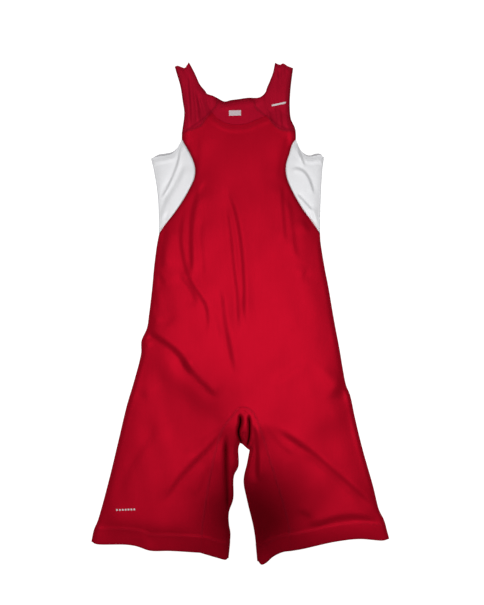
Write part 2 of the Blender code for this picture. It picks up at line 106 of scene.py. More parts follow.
# %% Black cards and floor
CARDS = {
    "shade_over_the_inner_legs": {"place": (0.0345, -0.341, 0.438), "radius": 0.088},
    "shade_over_the_right_hip": {"place": (-0.0443, -0.164, 0.438), "radius": 0.031},
}
CARD_CORNERS = 48
CARD_ROUGHNESS = 0.5
FLOOR_SIZE = 6.0
FLOOR_DEPTH = 0.2
FLOOR_COLOUR = (0.282, 0.282, 0.282, 1)
GLOW_COLOUR = (0.94, 0.94, 0.94, 1)
FLOOR_GLOW = 1.02
FLOOR_ROUGHNESS = 0.9
FLOOR_SHINE = 0.1


def darkened(colour, share):
    """A colour at this share of its brightness."""
    return tuple(share * part for part in colour[:3]) + (1,)


def new_finish(name, roughness, shine):
    """A new material and its shader."""
    finish = bpy.data.materials.new(name)
    finish.use_nodes = True
    shader = finish.node_tree.nodes["Principled BSDF"]
    shader.inputs["Roughness"].default_value = roughness
    shader.inputs["Specular IOR Level"].default_value = shine
    return finish, shader


black, card_shader = new_finish("black card", CARD_ROUGHNESS, 0.0)
card_shader.inputs["Base Color"].default_value = (0, 0, 0, 1)
for name, card in CARDS.items():
    bpy.ops.mesh.primitive_circle_add(vertices=CARD_CORNERS, radius=card["radius"], fill_type="NGON",
                                      location=card["place"])
    shade = bpy.context.object
    shade.name = name
    shade.visible_camera = False
    shade.data.materials.append(black)

bpy.ops.mesh.primitive_plane_add(size=FLOOR_SIZE, location=(0, 0, -FLOOR_DEPTH * MM))
floor = bpy.context.object
floor.name = "floor"
floor_finish, floor_shader = new_finish("plain floor", FLOOR_ROUGHNESS, FLOOR_SHINE)
floor_shader.inputs["Base Color"].default_value = FLOOR_COLOUR
floor_shader.inputs["Emission Color"].default_value = GLOW_COLOUR
floor_shader.inputs["Emission Strength"].default_value = FLOOR_GLOW
floor.data.materials.append(floor_finish)
print("black cards:", len(CARDS), "over a floor of", FLOOR_SIZE, "m")

# %% [markdown]
# ## Knit
# Running cloth is a fine jersey: upright columns of small V-shaped loops, about half a millimetre wide.
# Threads that fine are drawn by a bump pattern and not by geometry. The pattern reads each piece's own
# map, in metres of cloth, so that the loops follow the cloth round a fold. The straps are a mesh: the
# same knit with rows of small openings. Broad and streaky noise breaks up the colour as dyed cloth
# does. An attribute of the cloth, named painted_shade, paints shade into the colour where the cloth is
# tucked in and no light comes.

# %% Helpers for finishes
def sum_node(tree, operation, first, second=0.0, third=0.0):
    """Adds a maths node and gives its result. Numbers and sockets may both be given."""
    node = tree.nodes.new("ShaderNodeMath")
    node.operation = operation
    for socket, value in zip(node.inputs, (first, second, third)):
        if isinstance(value, (int, float)):
            socket.default_value = value
        else:
            tree.links.new(value, socket)
    return node.outputs[0]


def noise_node(tree, place, size, stretch=1.0, detail=3.0):
    """Noise from 0 to 1 with patches of this size in metres, drawn out along the piece."""
    mapping = tree.nodes.new("ShaderNodeMapping")
    mapping.inputs["Scale"].default_value = (1 / size, 1 / (size * stretch), 1)
    tree.links.new(place, mapping.inputs["Vector"])
    noise = tree.nodes.new("ShaderNodeTexNoise")
    noise.inputs["Scale"].default_value = 1.0
    noise.inputs["Detail"].default_value = detail
    tree.links.new(mapping.outputs[0], noise.inputs["Vector"])
    return noise.outputs["Fac"]


def colour_mix(tree, share, first, second):
    """Mixes two colours, given as sockets or values, by this share."""
    mix = tree.nodes.new("ShaderNodeMix")
    mix.data_type = "RGBA"
    tree.links.new(share, mix.inputs["Factor"])
    for socket, value in ((mix.inputs["A"], first), (mix.inputs["B"], second)):
        if isinstance(value, tuple):
            socket.default_value = value
        else:
            tree.links.new(value, socket)
    return mix.outputs["Result"]


print("helpers for finishes are ready")

# %% [markdown]
# ## Loops of the knit
# A sine across each column makes it round. A second sine, slanted down both halves of the column, makes
# the V of each loop. For mesh, holes are cut between the rows. The same pattern colours the cloth a
# little and gives it relief.

# %% Loops of the knit
V_SLANT = 1.6
YARN_SHARE = 0.3
OPENING_EDGE = 3.0
PATCH_SIZE = 0.06
STREAK_SIZE = 0.004
STREAK_STRETCH = 14
DYE_SHARE = 0.7
LOOP_DEPTH = 0.0001
# Brightness left in the colour at full painted shade.
PAINTED_SHADE_SHARE = 0.05


def knit(name, light, dark, roughness, lustre, relief, wale, course, openings=0.0):
    """A knit of loops wale wide and course high, in metres, coloured between dark and light."""
    finish, shader = new_finish(name, roughness, 0.0)
    tree = finish.node_tree
    shader.inputs["Metallic"].default_value = lustre
    cloth_map = tree.nodes.new("ShaderNodeUVMap")
    cloth_map.uv_map = "cloth"
    parts = tree.nodes.new("ShaderNodeSeparateXYZ")
    tree.links.new(cloth_map.outputs[0], parts.inputs[0])
    across = sum_node(tree, "FRACT", sum_node(tree, "DIVIDE", parts.outputs["X"], wale))
    from_middle = sum_node(tree, "ABSOLUTE", sum_node(tree, "SUBTRACT", across, 0.5))
    up = sum_node(tree, "DIVIDE", parts.outputs["Y"], course)
    slanted = sum_node(tree, "MULTIPLY_ADD", from_middle, V_SLANT, up)
    yarn = sum_node(tree, "SINE", sum_node(tree, "MULTIPLY", slanted, 2 * math.pi))
    column = sum_node(tree, "SINE", sum_node(tree, "MULTIPLY", across, math.pi))
    loops = sum_node(tree, "MULTIPLY", column,
                     sum_node(tree, "MULTIPLY_ADD", yarn, YARN_SHARE, 1 - YARN_SHARE))
    if openings:
        row = sum_node(tree, "SINE", sum_node(tree, "MULTIPLY", up, math.pi))
        hole = sum_node(tree, "MULTIPLY", column, sum_node(tree, "MULTIPLY", row, row))
        hole = sum_node(tree, "SUBTRACT", 1.0, sum_node(tree, "POWER", hole, OPENING_EDGE))
        between = sum_node(tree, "MULTIPLY", loops, 1 - openings)
        loops = sum_node(tree, "MULTIPLY_ADD", hole, openings, between)
    patches = noise_node(tree, cloth_map.outputs[0], PATCH_SIZE)
    streaks = noise_node(tree, cloth_map.outputs[0], STREAK_SIZE, stretch=STREAK_STRETCH)
    dye = sum_node(tree, "MULTIPLY_ADD", patches, 0.5, sum_node(tree, "MULTIPLY", streaks, 0.5))
    yarn_tone = sum_node(tree, "MULTIPLY", loops, 1 - DYE_SHARE)
    share = sum_node(tree, "MULTIPLY_ADD", dye, DYE_SHARE, yarn_tone)
    # Painted shade: this attribute darkens the colour nearly to black where the cloth is tucked in.
    painted_shade = tree.nodes.new("ShaderNodeAttribute")
    painted_shade.attribute_name = "painted_shade"
    colour = colour_mix(tree, painted_shade.outputs["Fac"], colour_mix(tree, share, dark, light),
                        darkened(dark, PAINTED_SHADE_SHARE))
    tree.links.new(colour, shader.inputs["Base Color"])
    bump = tree.nodes.new("ShaderNodeBump")
    bump.inputs["Strength"].default_value = relief
    bump.inputs["Distance"].default_value = LOOP_DEPTH
    tree.links.new(loops, bump.inputs["Height"])
    tree.links.new(bump.outputs[0], shader.inputs["Normal"])
    return finish


print("colour by dye:", DYE_SHARE, "and by loops:", round(1 - DYE_SHARE, 2))

# %% [markdown]
# ## Finishes
# The suit has three cloths: red jersey, white jersey and a red mesh for the straps. Each has a darker
# inner side, which shows inside the neck and the armholes: partly the duller reverse of the knit, and
# partly painted shade of the inside of the suit, most of all on the white. A low metallic share stands
# for the lustre of stretch yarn, which makes a slope that turns from the light darken more than cotton
# would.

# %% Finishes
JERSEY = {"wale": 0.0006, "course": 0.0005}
MESH = {"wale": 0.0013, "course": 0.0012, "openings": 0.7}
FINISHES = {
    "red_knit": knit("red stretch knit", (0.52, 0.0045, 0.022, 1), (0.42, 0.003, 0.015, 1),
                     roughness=0.45, lustre=0.35, relief=0.3, **JERSEY),
    # Inner sides: the knit's duller reverse, with painted shade of the inside of the suit.
    "red_reverse": knit("red knit, inner side in painted shade", (0.47, 0.006, 0.028, 1), (0.39, 0.004, 0.020, 1),
                        roughness=0.5, lustre=0.3, relief=0.4, **JERSEY),
    "strap_knit": knit("strap mesh knit", (0.52, 0.007, 0.031, 1), (0.33, 0.004, 0.018, 1),
                       roughness=0.5, lustre=0.3, relief=0.45, **MESH),
    "strap_reverse": knit("strap mesh knit, inner side in painted shade", (0.48, 0.007, 0.030, 1), (0.36, 0.004, 0.020, 1),
                          roughness=0.5, lustre=0.3, relief=0.45, **MESH),
    "white_knit": knit("white stretch knit", (0.93, 0.93, 0.95, 1), (0.86, 0.86, 0.88, 1),
                       roughness=0.5, lustre=0.3, relief=0.3, **JERSEY),
    # Painted shade: the white inner side is far darker than the white cloth, as the inside of the suit lies
    # in shade.
    "white_reverse": knit("white knit, inner side in painted shade", (0.64, 0.63, 0.65, 1), (0.54, 0.53, 0.55, 1),
                          roughness=0.6, lustre=0.2, relief=0.4, **JERSEY),
}
print("finishes:", ", ".join(FINISHES))

# %% [markdown]
# ## Outlines
# A pattern cutter draws few points and a smooth line through them. Here every outline, seam and fold is
# such a short row of points, in millimetres from the middle of the suit, with the neck at the top. They
# run from the top down, or from the armhole inwards. The wearer's left is at positive x.

# %% Outlines
OUTLINES = {
    "right": {
        "armhole": ((-116.5, 359), (-116.5, 353), (-116.7, 347.5)),
        "panel_seam": ((-116.7, 347.5), (-102.5, 323), (-93.7, 304), (-90, 288), (-92, 270), (-102.5, 247),
                       (-117, 222), (-134.5, 197), (-150.5, 177), (-162, 160)),
        "panel_edge_front": ((-117, 346.5), (-125.5, 331), (-136, 319.5), (-150, 315), (-165, 312.5),
                             (-178, 308)),
        "panel_edge_back": ((-117, 346.5), (-124.5, 333), (-134.5, 323.5), (-149.5, 320), (-164, 318),
                            (-178, 311)),
        "panel_fold": ((-178, 310), (-171.5, 279), (-166.3, 247), (-164, 221), (-162.5, 183), (-162, 160)),
        "waist_fold": ((-162, 160), (-166.5, 137), (-172, 95), (-176.5, 47), (-182.5, -3), (-186.5, -29),
                       (-197.5, -55), (-198, -78), (-203, -102)),
        "leg_fold": ((-203, -102), (-214.5, -143), (-226.5, -183), (-242.5, -250), (-262.5, -333),
                     (-284.5, -413), (-292.5, -433), (-297.3, -456)),
        "hem": ((-297.3, -456), (-290, -460), (-229, -461.5), (-208, -464.5), (-180, -473.5), (-141, -474),
                (-80.5, -477.5)),
        "gusset_hem": ((-80.5, -477.5), (-65.5, -482), (-45, -488), (-27.5, -492), (-23.7, -489)),
        "gusset_seam": ((4.5, -187.5), (-1, -188.5), (-8.5, -194), (-14.5, -203), (-24.5, -215),
                        (-36.5, -233), (-46.5, -263), (-54.5, -297), (-62.5, -337), (-74.5, -413),
                        (-80.5, -477.5)),
        "inner_leg": ((-0.5, -259), (-3.5, -269), (-3.5, -305), (-12.5, -325), (-14, -371), (-22.5, -397),
                      (-22.5, -421), (-19.5, -439), (-21, -463), (-23.7, -489)),
        "raglan_front": ((-116.5, 359), (-102.5, 365), (-78.5, 375), (-68.5, 389), (-56.5, 401)),
        "neck_front": ((-56.5, 401), (-44.5, 389), (-32.5, 381), (-16.5, 377), (-0.5, 376.4)),
        "raglan_back": ((-116.5, 359), (-100, 370), (-80, 384), (-58.5, 403), (-46.5, 418), (-44.5, 430)),
        "neck_back": ((-44.5, 430), (-37, 425.5), (-30.5, 423.5), (-18.5, 426.4), (-6, 428)),
        "strap_armhole": ((-116.5, 359), (-111.5, 399), (-114.5, 423), (-119, 453), (-126.5, 479),
                          (-130.5, 493)),
        "strap_neck_front": ((-56.5, 401), (-66, 420), (-67.5, 440), (-80.5, 457), (-90.5, 479),
                             (-102.5, 502)),
        "strap_neck_back": ((-44.5, 430), (-53.5, 434.5), (-67.5, 440), (-80.5, 457), (-90.5, 479),
                            (-102.5, 502)),
        "strap_top": ((-130.5, 493), (-126, 495), (-110.5, 491), (-105.5, 497), (-102.5, 502)),
    },
    "left": {
        "armhole": ((110.3, 365), (111, 356), (111, 348)),
        "panel_seam": ((111, 348), (103.7, 337.5), (98, 319), (92, 299.5), (91, 285), (93.5, 270),
                       (101, 251), (112.5, 229), (126, 207), (143.5, 183.5), (159.5, 160)),
        "panel_edge_front": ((112, 347), (119.5, 328), (130, 316), (141, 313), (161, 315), (167, 311)),
        "panel_edge_back": ((112, 347), (121.5, 326), (131.5, 318), (140.5, 316.5), (150.5, 320),
                            (161, 320.5), (167, 315)),
        "panel_fold": ((167, 313), (164, 285), (161.7, 249.5), (160.3, 213), (159.5, 183.5), (159.5, 160)),
        "waist_fold": ((159.5, 160), (160.5, 143), (169.5, 87), (175.5, 57), (187.5, -13), (199.5, -77),
                       (203.5, -102)),
        "leg_fold": ((203.5, -102), (211.5, -143), (219.5, -163), (229.5, -209), (243.5, -267),
                     (266, -346.5), (277.5, -392.5), (287, -411.5), (292.7, -432.5), (297.5, -450)),
        "hem": ((297.5, -450), (287, -453), (239, -450), (189.5, -455.5), (124.5, -470), (101.5, -474)),
        "gusset_hem": ((101.5, -474), (86, -476), (67, -484.5), (49.5, -499), (41, -501.8), (34.3, -495)),
        "gusset_seam": ((4.5, -187.5), (10, -187.5), (19.5, -191), (27.5, -199), (33.5, -213), (47.5, -253),
                        (61.5, -299), (81.5, -363), (95.5, -417), (101.5, -474)),
        "inner_leg": ((18.5, -273), (13.5, -299), (6.5, -334), (13.5, -373), (27.5, -433), (34.3, -495)),
        "raglan_front": ((110.3, 365), (99.5, 364), (83.5, 366), (71.5, 373), (51.5, 395)),
        "neck_front": ((51.5, 395), (43.5, 391), (29.5, 385), (15.5, 379), (-0.5, 376.4)),
        "raglan_back": ((110.3, 365), (85, 371), (65, 384), (43.5, 401), (31.5, 411), (25.5, 431)),
        "neck_back": ((25.5, 431), (15.5, 431), (-6, 428)),
        "strap_armhole": ((110.3, 365), (108, 373), (101, 388), (98.5, 413), (100, 447), (103.5, 477),
                          (105.5, 490)),
        "strap_neck_front": ((51.5, 395), (52, 421), (51.5, 444), (59.5, 465), (65.5, 481), (69.5, 501)),
        "strap_neck_back": ((25.5, 431), (35.5, 431), (43.5, 434.5), (51.5, 444), (59.5, 465), (65.5, 481),
                            (69.5, 501)),
        "strap_top": ((105.5, 490), (95.5, 494), (85.5, 500), (79.5, 497), (69.5, 501)),
    },
}
MIDDLE = {
    "front": ((-0.5, 376.4), (1.5, 250), (3.5, 0), (4.5, -187.5)),
    "back": ((-6, 428), (-1.5, 250), (3, 0), (4.5, -187.5)),
}
CROTCH_EDGE = ((-0.5, -259), (4, -261), (9, -265.5), (14, -270), (18.5, -273))
print("outlines of each half:", len(OUTLINES["right"]))

# %% [markdown]
# ## Smooth lines
# The few points become a smooth line as a bent spline would draw it, through all of them and with no
# overshoot between near ones. A curve object would do it too, but plain arrays of points can also be
# measured, shifted and filled in, which all of the cloth below needs.

# %% Smooth lines
TURN = {"right": 1, "left": -1}
CURVE_STEPS = 12


def ease(value):
    """Rises smoothly from 0 to 1 while value goes from 0 to 1."""
    value = np.clip(value, 0.0, 1.0)
    return value * value * (3 - 2 * value)


def even(steps):
    """Fractions from 0 to 1 in this many equal steps."""
    return np.linspace(0, 1, steps + 1)


def smooth(points, fractions):
    """Points at these fractions of the length of a smooth line through the given points."""
    points = np.array(points, float)
    spans = np.linalg.norm(np.diff(points, axis=0), axis=1)
    knots = np.concatenate([[0.0], np.cumsum(np.sqrt(spans))])
    slopes = np.gradient(points, knots, axis=0)
    fine = []
    for index, width in enumerate(np.diff(knots)):
        step = np.linspace(0, 1, CURVE_STEPS, endpoint=False)[:, None]
        start, end = points[index], points[index + 1]
        leave, arrive = slopes[index] * width, slopes[index + 1] * width
        fine.append((2 * step**3 - 3 * step**2 + 1) * start + (step**3 - 2 * step**2 + step) * leave
                    + (3 * step**2 - 2 * step**3) * end + (step**3 - step**2) * arrive)
    fine = np.vstack(fine + [points[-1:]])
    lengths = np.concatenate([[0.0], np.cumsum(np.linalg.norm(np.diff(fine, axis=0), axis=1))])
    wanted = np.array(fractions) * lengths[-1]
    return np.column_stack([np.interp(wanted, lengths, fine[:, axis]) for axis in (0, 1)])


def length_of(points):
    """Length of the smooth line through these points."""
    fine = smooth(points, np.linspace(0, 1, CURVE_STEPS * len(points)))
    return np.linalg.norm(np.diff(fine, axis=0), axis=1).sum()


def left_of(line):
    """Unit vectors to the left of each point of a line."""
    ahead = np.gradient(line, axis=0)
    ahead /= np.linalg.norm(ahead, axis=1)[:, None]
    return np.column_stack([-ahead[:, 1], ahead[:, 0]])


def drawn(points):
    """The smooth line through these points, in short straight parts."""
    return smooth(points, even(2 * CURVE_STEPS))


def both_sides(*names):
    """The lines of these names on both halves of the suit."""
    return [drawn(OUTLINES[side][name]) for side in OUTLINES for name in names]


for side, lines in OUTLINES.items():
    outer_edge = length_of(lines["waist_fold"]) + length_of(lines["leg_fold"])
    print(side, "outer edge:", round(outer_edge), "mm")

# %% [markdown]
# ## Creases
# Thin knit that is spread by hand keeps long shallow creases where it is slack, and short sharp ones
# where the cut pulls it in, at the waist, the hips and round the crotch. Most are a step: the cloth on
# one side stands a little higher and comes down steeply along the line. Lean 1 makes the left side high,
# as the line is drawn, and -1 the right side. A lean of 0 is a slit between two rolls. They are placed
# one by one, because no two are alike: some are soft, some sharp, and some run into each other. Each row
# gives a width and a depth in millimetres, the lean, and the points of the line.

# %% Creases of the front
CREASES = {
    "right chest": (9, 0.8, 1, ((-82, 361), (-83, 317), (-89, 277))),
    "left chest": (9, 0.8, -1, ((92, 362), (89, 340), (80, 300), (74, 262))),
    "right bust kink": (7, 1.2, -1, ((-72, 268), (-78, 250), (-84, 230))),
    "right waist, first": (8, 2.7, 1, ((-76, 256), (-92, 212), (-97, 178), (-98, 146), (-97, 101),
                                        (-97, 69))),
    "right waist, second": (7, 1.7, 1, ((-107, 219), (-115, 187), (-118, 146), (-111, 101), (-99, 65),
                                         (-81, 37), (-70, 19), (-65, 1), (-64, -29), (-63, -53))),
    "right rib, inner": (8, 0.9, 1, ((-74, 192), (-76, 146), (-73, 105), (-71, 69))),
    "right rib, joining": (8, 1.5, 1, ((-125, 82), (-109, 62), (-95, 42), (-84, 14))),
    "middle, first": (7, 2.0, 1, ((-34, 241), (-27, 211), (-20, 169), (-15, 123), (-11, 82), (-6, 42),
                                   (-4, -4), (0, -54))),
    "middle, second": (8, 2.7, 1, ((-29, 260), (-22, 237), (-11, 205), (-3, 169), (3, 123), (6, 82),
                                    (8, 46), (8, 5), (16, -36))),
    "right belly": (9, 2.0, 1, ((-40, 60), (-34, 19), (-29, -22), (-22, -58), (-15, -95), (-11, -127))),
    "right belly, short": (8, 0.9, 1, ((-54, 19), (-45, -18), (-38, -54))),
    "left waist, inner": (7, 1.3, -1, ((83, 262), (85, 210), (88, 178), (91, 137))),
    "left waist, outer": (8, 1.1, -1, ((93, 240), (101, 201), (105, 164), (112, 123), (119, 105))),
    "left side, upper": (9, 1.8, -1, ((122, 196), (130, 180), (142, 158))),
    "left rib": (7, 0.9, -1, ((135, 92), (127, 79), (118, 67))),
    "right side": (12, 3.0, 1, ((-140, 184), (-152, 151), (-157, 117), (-157, 83))),
    "right side, short": (8, 1.0, 1, ((-168, 90), (-157, 70), (-145, 53))),
    "right side, lower": (9, 1.5, 1, ((-175, 53), (-169, 20), (-166, 1))),
    "right hip, upper": (8, 1.4, 1, ((-181, -1), (-170, -25))),
    "right hip, crossing": (9, 0.6, -1, ((-158, -31), (-140, -18), (-121, -3))),
    "right hip": (10, 3.4, 1, ((-196, -26), (-163, -49), (-132, -71), (-115, -90), (-104, -110),
                               (-92, -124))),
    "right hip, end": (10, 1.9, 1, ((-120, -84), (-106, -106), (-86, -127), (-61, -152), (-42, -170))),
    "right hip, edge": (7, 1.6, 1, ((-196, -53), (-190, -63), (-182, -72))),
    "right hip, broad": (38, 3.4, 1, ((-210, -72), (-165, -105), (-115, -150), (-65, -186), (-12, -205))),
    "right outer thigh": (12, 1.0, 1, ((-199, -145), (-190, -163), (-179, -174))),
    "left groin": (12, 1.2, -1, ((60, -143), (87, -122), (114, -104), (140, -95))),
    "left hip": (20, 5.2, -1, ((224, -120), (203, -148), (168, -176))),
    "left thigh, broad": (45, 2.8, -1, ((262, -175), (215, -200), (160, -235), (105, -270))),
    "left hip, lower": (11, 0.8, -1, ((210, -165), (190, -168), (165, -160))),
    "right thigh": (10, 2.2, -1, ((-24, -220), (-62, -266), (-100, -304), (-133, -343), (-158, -384))),
    "right thigh, upper": (9, 0.9, -1, ((-38, -222), (-81, -259), (-107, -285))),
    "right thigh, outer": (11, 0.8, 1, ((-148, -220), (-172, -253), (-204, -298), (-233, -349),
                                         (-247, -371))),
    "right thigh, outermost": (9, 0.7, 1, ((-160, -220), (-184, -253), (-216, -303), (-240, -345))),
    "right thigh, inner": (9, 0.8, -1, ((-66, -300), (-78, -340), (-89, -369))),
    "left thigh": (9, 2.4, 1, ((60, -222), (87, -239), (116, -258), (145, -278), (190, -317), (235, -356),
                               (279, -398))),
    "left thigh, inner": (10, 1.0, 1, ((43, -212), (60, -236), (84, -264), (111, -288))),
    "left thigh, lower": (9, 1.2, 1, ((118, -271), (151, -298), (190, -332), (235, -376))),
    "left inner leg": (7, 3.4, 1, ((25, -216), (31, -237), (34, -273), (35, -311), (36, -340))),
    "left inner leg, lower": (10, 1.2, -1, ((55, -401), (57, -430), (56, -465))),
    "left hem, spot": (9, 1.3, 1, ((112, -386), (132, -400), (150, -404))),
    "left hem": (9, 1.9, 1, ((128, -424), (160, -418), (190, -409), (230, -405), (277, -412))),
    "right hem, broad": (24, 2.8, 1, ((-292, -418), (-230, -428), (-160, -438), (-90, -440))),
    "right hem": (11, 1.2, -1, ((-190, -430), (-187, -452), (-190, -466))),
    "right panel, upper": (3.0, 2.2, 1, ((-117, 334), (-123, 311), (-127, 295), (-142, 259), (-162, 226))),
    "right panel, lower": (8, 1.3, 1, ((-104, 300), (-112, 290), (-128, 258), (-148, 226), (-162, 196))),
    "right panel, end": (6, 1.3, -1, ((-143, 205), (-154, 193), (-163, 182))),
    "left panel, upper": (3.5, 1.3, -1, ((114, 338), (119, 320), (130, 294))),
    "left panel, bow": (3.5, 1.2, -1, ((100, 285), (112, 290), (128, 283), (139, 266), (148, 236))),
    "left panel, lower": (3.5, 0.8, -1, ((112, 240), (127, 225), (146, 204))),
    "left panel, end": (6, 1.2, 1, ((139, 211), (148, 192), (158, 174))),
}
print("creases in the front:", len(CREASES))

# %% [markdown]
# ## Pinches and gathers
# Between the legs the cloth is bunched, and pinched folds run right up to the edge. The mesh of the
# straps is gathered where it is drawn in, on the raglan seams and on the shoulder.

# %% Pinches and gathers
PINCHES = {
    "right inner leg": (6, 8.5, 0, ((-29, -240), (-29, -263), (-28, -313), (-26, -353), (-25, -408))),
    "right slit": (4.6, 13.0, 0, ((-1, -198), (0.5, -216), (-3.5, -236), (-1, -250), (7, -266))),
    "left slit": (3.4, 11.0, 0, ((16.5, -200), (18.5, -221), (18.5, -239), (16.5, -254), (11, -272))),
    "small fold": (2.4, 2.4, 0, ((2, -250), (6, -240), (10, -235))),
    "small fold, lower": (2.0, 1.8, 0, ((8, -240), (11, -248), (12, -256))),
    "arch": (2.4, 1.8, 0, ((-10, -202), (-3, -196), (2, -195), (8, -196), (16, -203))),
    "arch, outer": (3.0, 0.8, 0, ((-20, -206), (-10, -193), (2, -187.5), (14, -189), (24, -200))),
}
GATHERS = {
    "right, outer": (3.5, 1.1, -1, ((-115, 480), (-113, 437), (-109, 372))),
    "right, second": (3.5, 1.5, -1, ((-105, 486), (-101, 437), (-98, 370))),
    "right, middle": (3.5, 1.2, 1, ((-97, 460), (-91, 417), (-89, 373))),
    "right, fourth": (3.5, 1.2, -1, ((-89, 440), (-83, 411), (-81, 381))),
    "right, inner": (3.5, 1.0, 1, ((-83, 433), (-75, 411), (-72, 389))),
    "left, shoulder outer": (3.5, 1.0, -1, ((90, 496), (88, 470))),
    "left, shoulder middle": (3.5, 0.9, 1, ((82, 490), (81, 447))),
    "left, shoulder inner": (3.5, 1.1, -1, ((73, 498), (76, 466))),
    "left, inner": (3.5, 1.1, -1, ((58, 408), (62, 382))),
    "left, second": (3.5, 1.2, 1, ((69, 414), (74, 374))),
    "left, middle": (3.5, 1.1, -1, ((81, 408), (84, 368))),
    "left, armhole": (4.5, 1.0, -1, ((96, 400), (95, 366))),
}
print("pinched folds:", len(PINCHES), "and gathers:", len(GATHERS))

# %% [markdown]
# ## Creases of the back
# The back lies on the floor, so its creases can only rise, and their depth is a height. They are out of
# view and drawn like those of the front, only lower and fewer.

# %% Creases of the back
BACK_CREASES = {
    "right waist": (9, 1.0, 0, ((-60, 270), (-75, 180), (-84, 90), (-70, 0))),
    "middle": (8, 1.2, 0, ((18, 240), (26, 140), (22, 30), (34, -60))),
    "left waist": (9, 0.9, 0, ((92, 210), (104, 120), (98, 40))),
    "right seat": (11, 1.3, 0, ((-172, -60), (-120, -92), (-60, -140))),
    "left seat": (11, 1.2, 0, ((182, -84), (130, -110), (72, -150))),
    "right thigh": (11, 1.2, 0, ((-40, -220), (-96, -290), (-170, -370))),
    "left thigh": (11, 1.3, 0, ((60, -230), (120, -290), (200, -350), (262, -410))),
    "neck, right": (7, 1.0, 0, ((-50, 402), (-30, 412), (-6, 410))),
    "neck, left": (7, 0.8, 0, ((30, 408), (12, 418), (-2, 414))),
    "neck, fold": (5, 1.8, 0, ((8, 424), (22, 424), (38, 417))),
}
print("creases in the back:", len(BACK_CREASES))

# %% [markdown]
# ## Height of a crease
# The height of a crease depends only on how far a point lies from its line and how far along it. A step
# is up on one side of its line and down on the other. A slit is a trough, narrowest at its bottom, as
# where two rolls of cloth meet. Both fade out towards the ends of their line.

# %% Height of a crease
SLIT_SHARPNESS = 2.2
SLIT_ROUND = 0.02
STEP_FADE = 3.0
REACH = 6.0
TAPER = 0.2
END_WIDTHS = 2.2
FAR = 1e9


def beside(line, x, y):
    """How far each point lies from a line, left of it counted positive, and how far along it."""
    best = np.full(np.shape(x), FAR)
    along = np.zeros(np.shape(x))
    turned = np.ones(np.shape(x))
    for index in range(len(line) - 1):
        start, span = line[index], line[index + 1] - line[index]
        share = np.clip(((x - start[0]) * span[0] + (y - start[1]) * span[1]) / (span @ span), 0, 1)
        away_x, away_y = x - start[0] - share * span[0], y - start[1] - share * span[1]
        away = np.hypot(away_x, away_y)
        nearer = away < best
        best = np.where(nearer, away, best)
        along = np.where(nearer, (index + share) / (len(line) - 1), along)
        turned = np.where(nearer, np.sign(span[0] * away_y - span[1] * away_x), turned)
    return best * turned, along


def crease_heights(x, y, creases):
    """Sum of the creases' heights at each point."""
    total = np.zeros(np.shape(x))
    for width, depth, lean, points in creases.values():
        line = drawn(points)
        low, high = line.min(axis=0) - REACH * width, line.max(axis=0) + REACH * width
        near = (x > low[0]) & (x < high[0]) & (y > low[1]) & (y < high[1])
        across, along = beside(line, x[near], y[near])
        across = across / width
        if lean:
            profile = lean * across / (1 + across**2) * np.exp(-(across / STEP_FADE)**2)
        else:
            profile = -np.exp(-SLIT_SHARPNESS * np.sqrt(across**2 + SLIT_ROUND))
        fade = np.clip(END_WIDTHS * width / length_of(points), TAPER, 0.5)
        taper = ease(along / fade) * ease((1 - along) / fade)
        total[near] += depth * taper * profile
    return total


def nearest(lines, x, y):
    """Distance from each point to the nearest of these lines."""
    return np.min([np.abs(beside(line, x, y)[0]) for line in lines], axis=0)


right_hip = crease_heights(np.array([-150.0]), np.array([-65.0]), CREASES)[0]
print("height of the creases at the right hip, in mm:", round(right_hip, 2))

# %% [markdown]
# ## Layers and folds
# The suit is two layers that meet in a small round fold along its sides, its inner legs and its
# shoulders. All heights are over the floor, in millimetres, and belong to the middle of the cloth.

# %% Layers and folds
CLOTH = 0.7
SEAM_GAP = 0.02
FOLD_RADIUS = 1.45
BACK_Z = CLOTH / 2
FOLD_Z = BACK_Z + FOLD_RADIUS
FRONT_Z = BACK_Z + 2 * FOLD_RADIUS
FOLD_INSET = FOLD_RADIUS + CLOTH / 2
LAYER_GAP = 1.1

FOLDED_EDGES = both_sides("panel_fold", "waist_fold", "leg_fold", "inner_leg", "strap_top")
FOLDED_EDGES.append(drawn(CROTCH_EDGE))
PANEL_FOLDS = both_sides("panel_fold")
SIDES = both_sides("panel_seam", "waist_fold", "leg_fold", "inner_leg")
PANEL_SEAMS = {side: drawn(OUTLINES[side]["panel_seam"]) for side in OUTLINES}
HEMS = both_sides("hem", "gusset_hem")
ARM_EDGES = both_sides("strap_armhole", "armhole", "panel_edge_front")
NECK_EDGES = both_sides("neck_front", "strap_neck_front")
BACK_NECK = both_sides("neck_back")
print("middle of the back and front layers at a fold:", BACK_Z, "and", FRONT_Z, "mm")

# %% [markdown]
# ## Turned edges and seams
# Hems and edges are turned under and stitched, so a band of double cloth follows them. A flat seam has
# two edges lying on each other, which makes a low welt. Where the cloth is spread it still isn't quite
# flat, and faint swells of uneven length keep it from looking like a sheet of plastic.

# %% Turned edges and seams
HEM_BAND = 33.0
EDGE_BAND = 9.0
BAND_STEP = 2.5
EDGE_STEP = 8.0
WELT = 0.15
WELT_REACH = 2.4
SLACK = 0.22
LAYERS = ("front", "back")
TURNED_EDGES = {layer: both_sides("neck_" + layer, "strap_neck_" + layer, "strap_armhole", "armhole",
                                  "panel_edge_" + layer) for layer in LAYERS}
SEAMS = {layer: both_sides("raglan_" + layer, "panel_seam", "gusset_seam") for layer in LAYERS}


def turned_band(x, y, layer):
    """1 on the turned hems and edges, 0 on single cloth."""
    hem = ease((HEM_BAND + BAND_STEP - nearest(HEMS, x, y)) / BAND_STEP)
    edge = ease((EDGE_BAND + EDGE_STEP - nearest(TURNED_EDGES[layer], x, y)) / EDGE_STEP)
    return np.maximum(hem, edge)


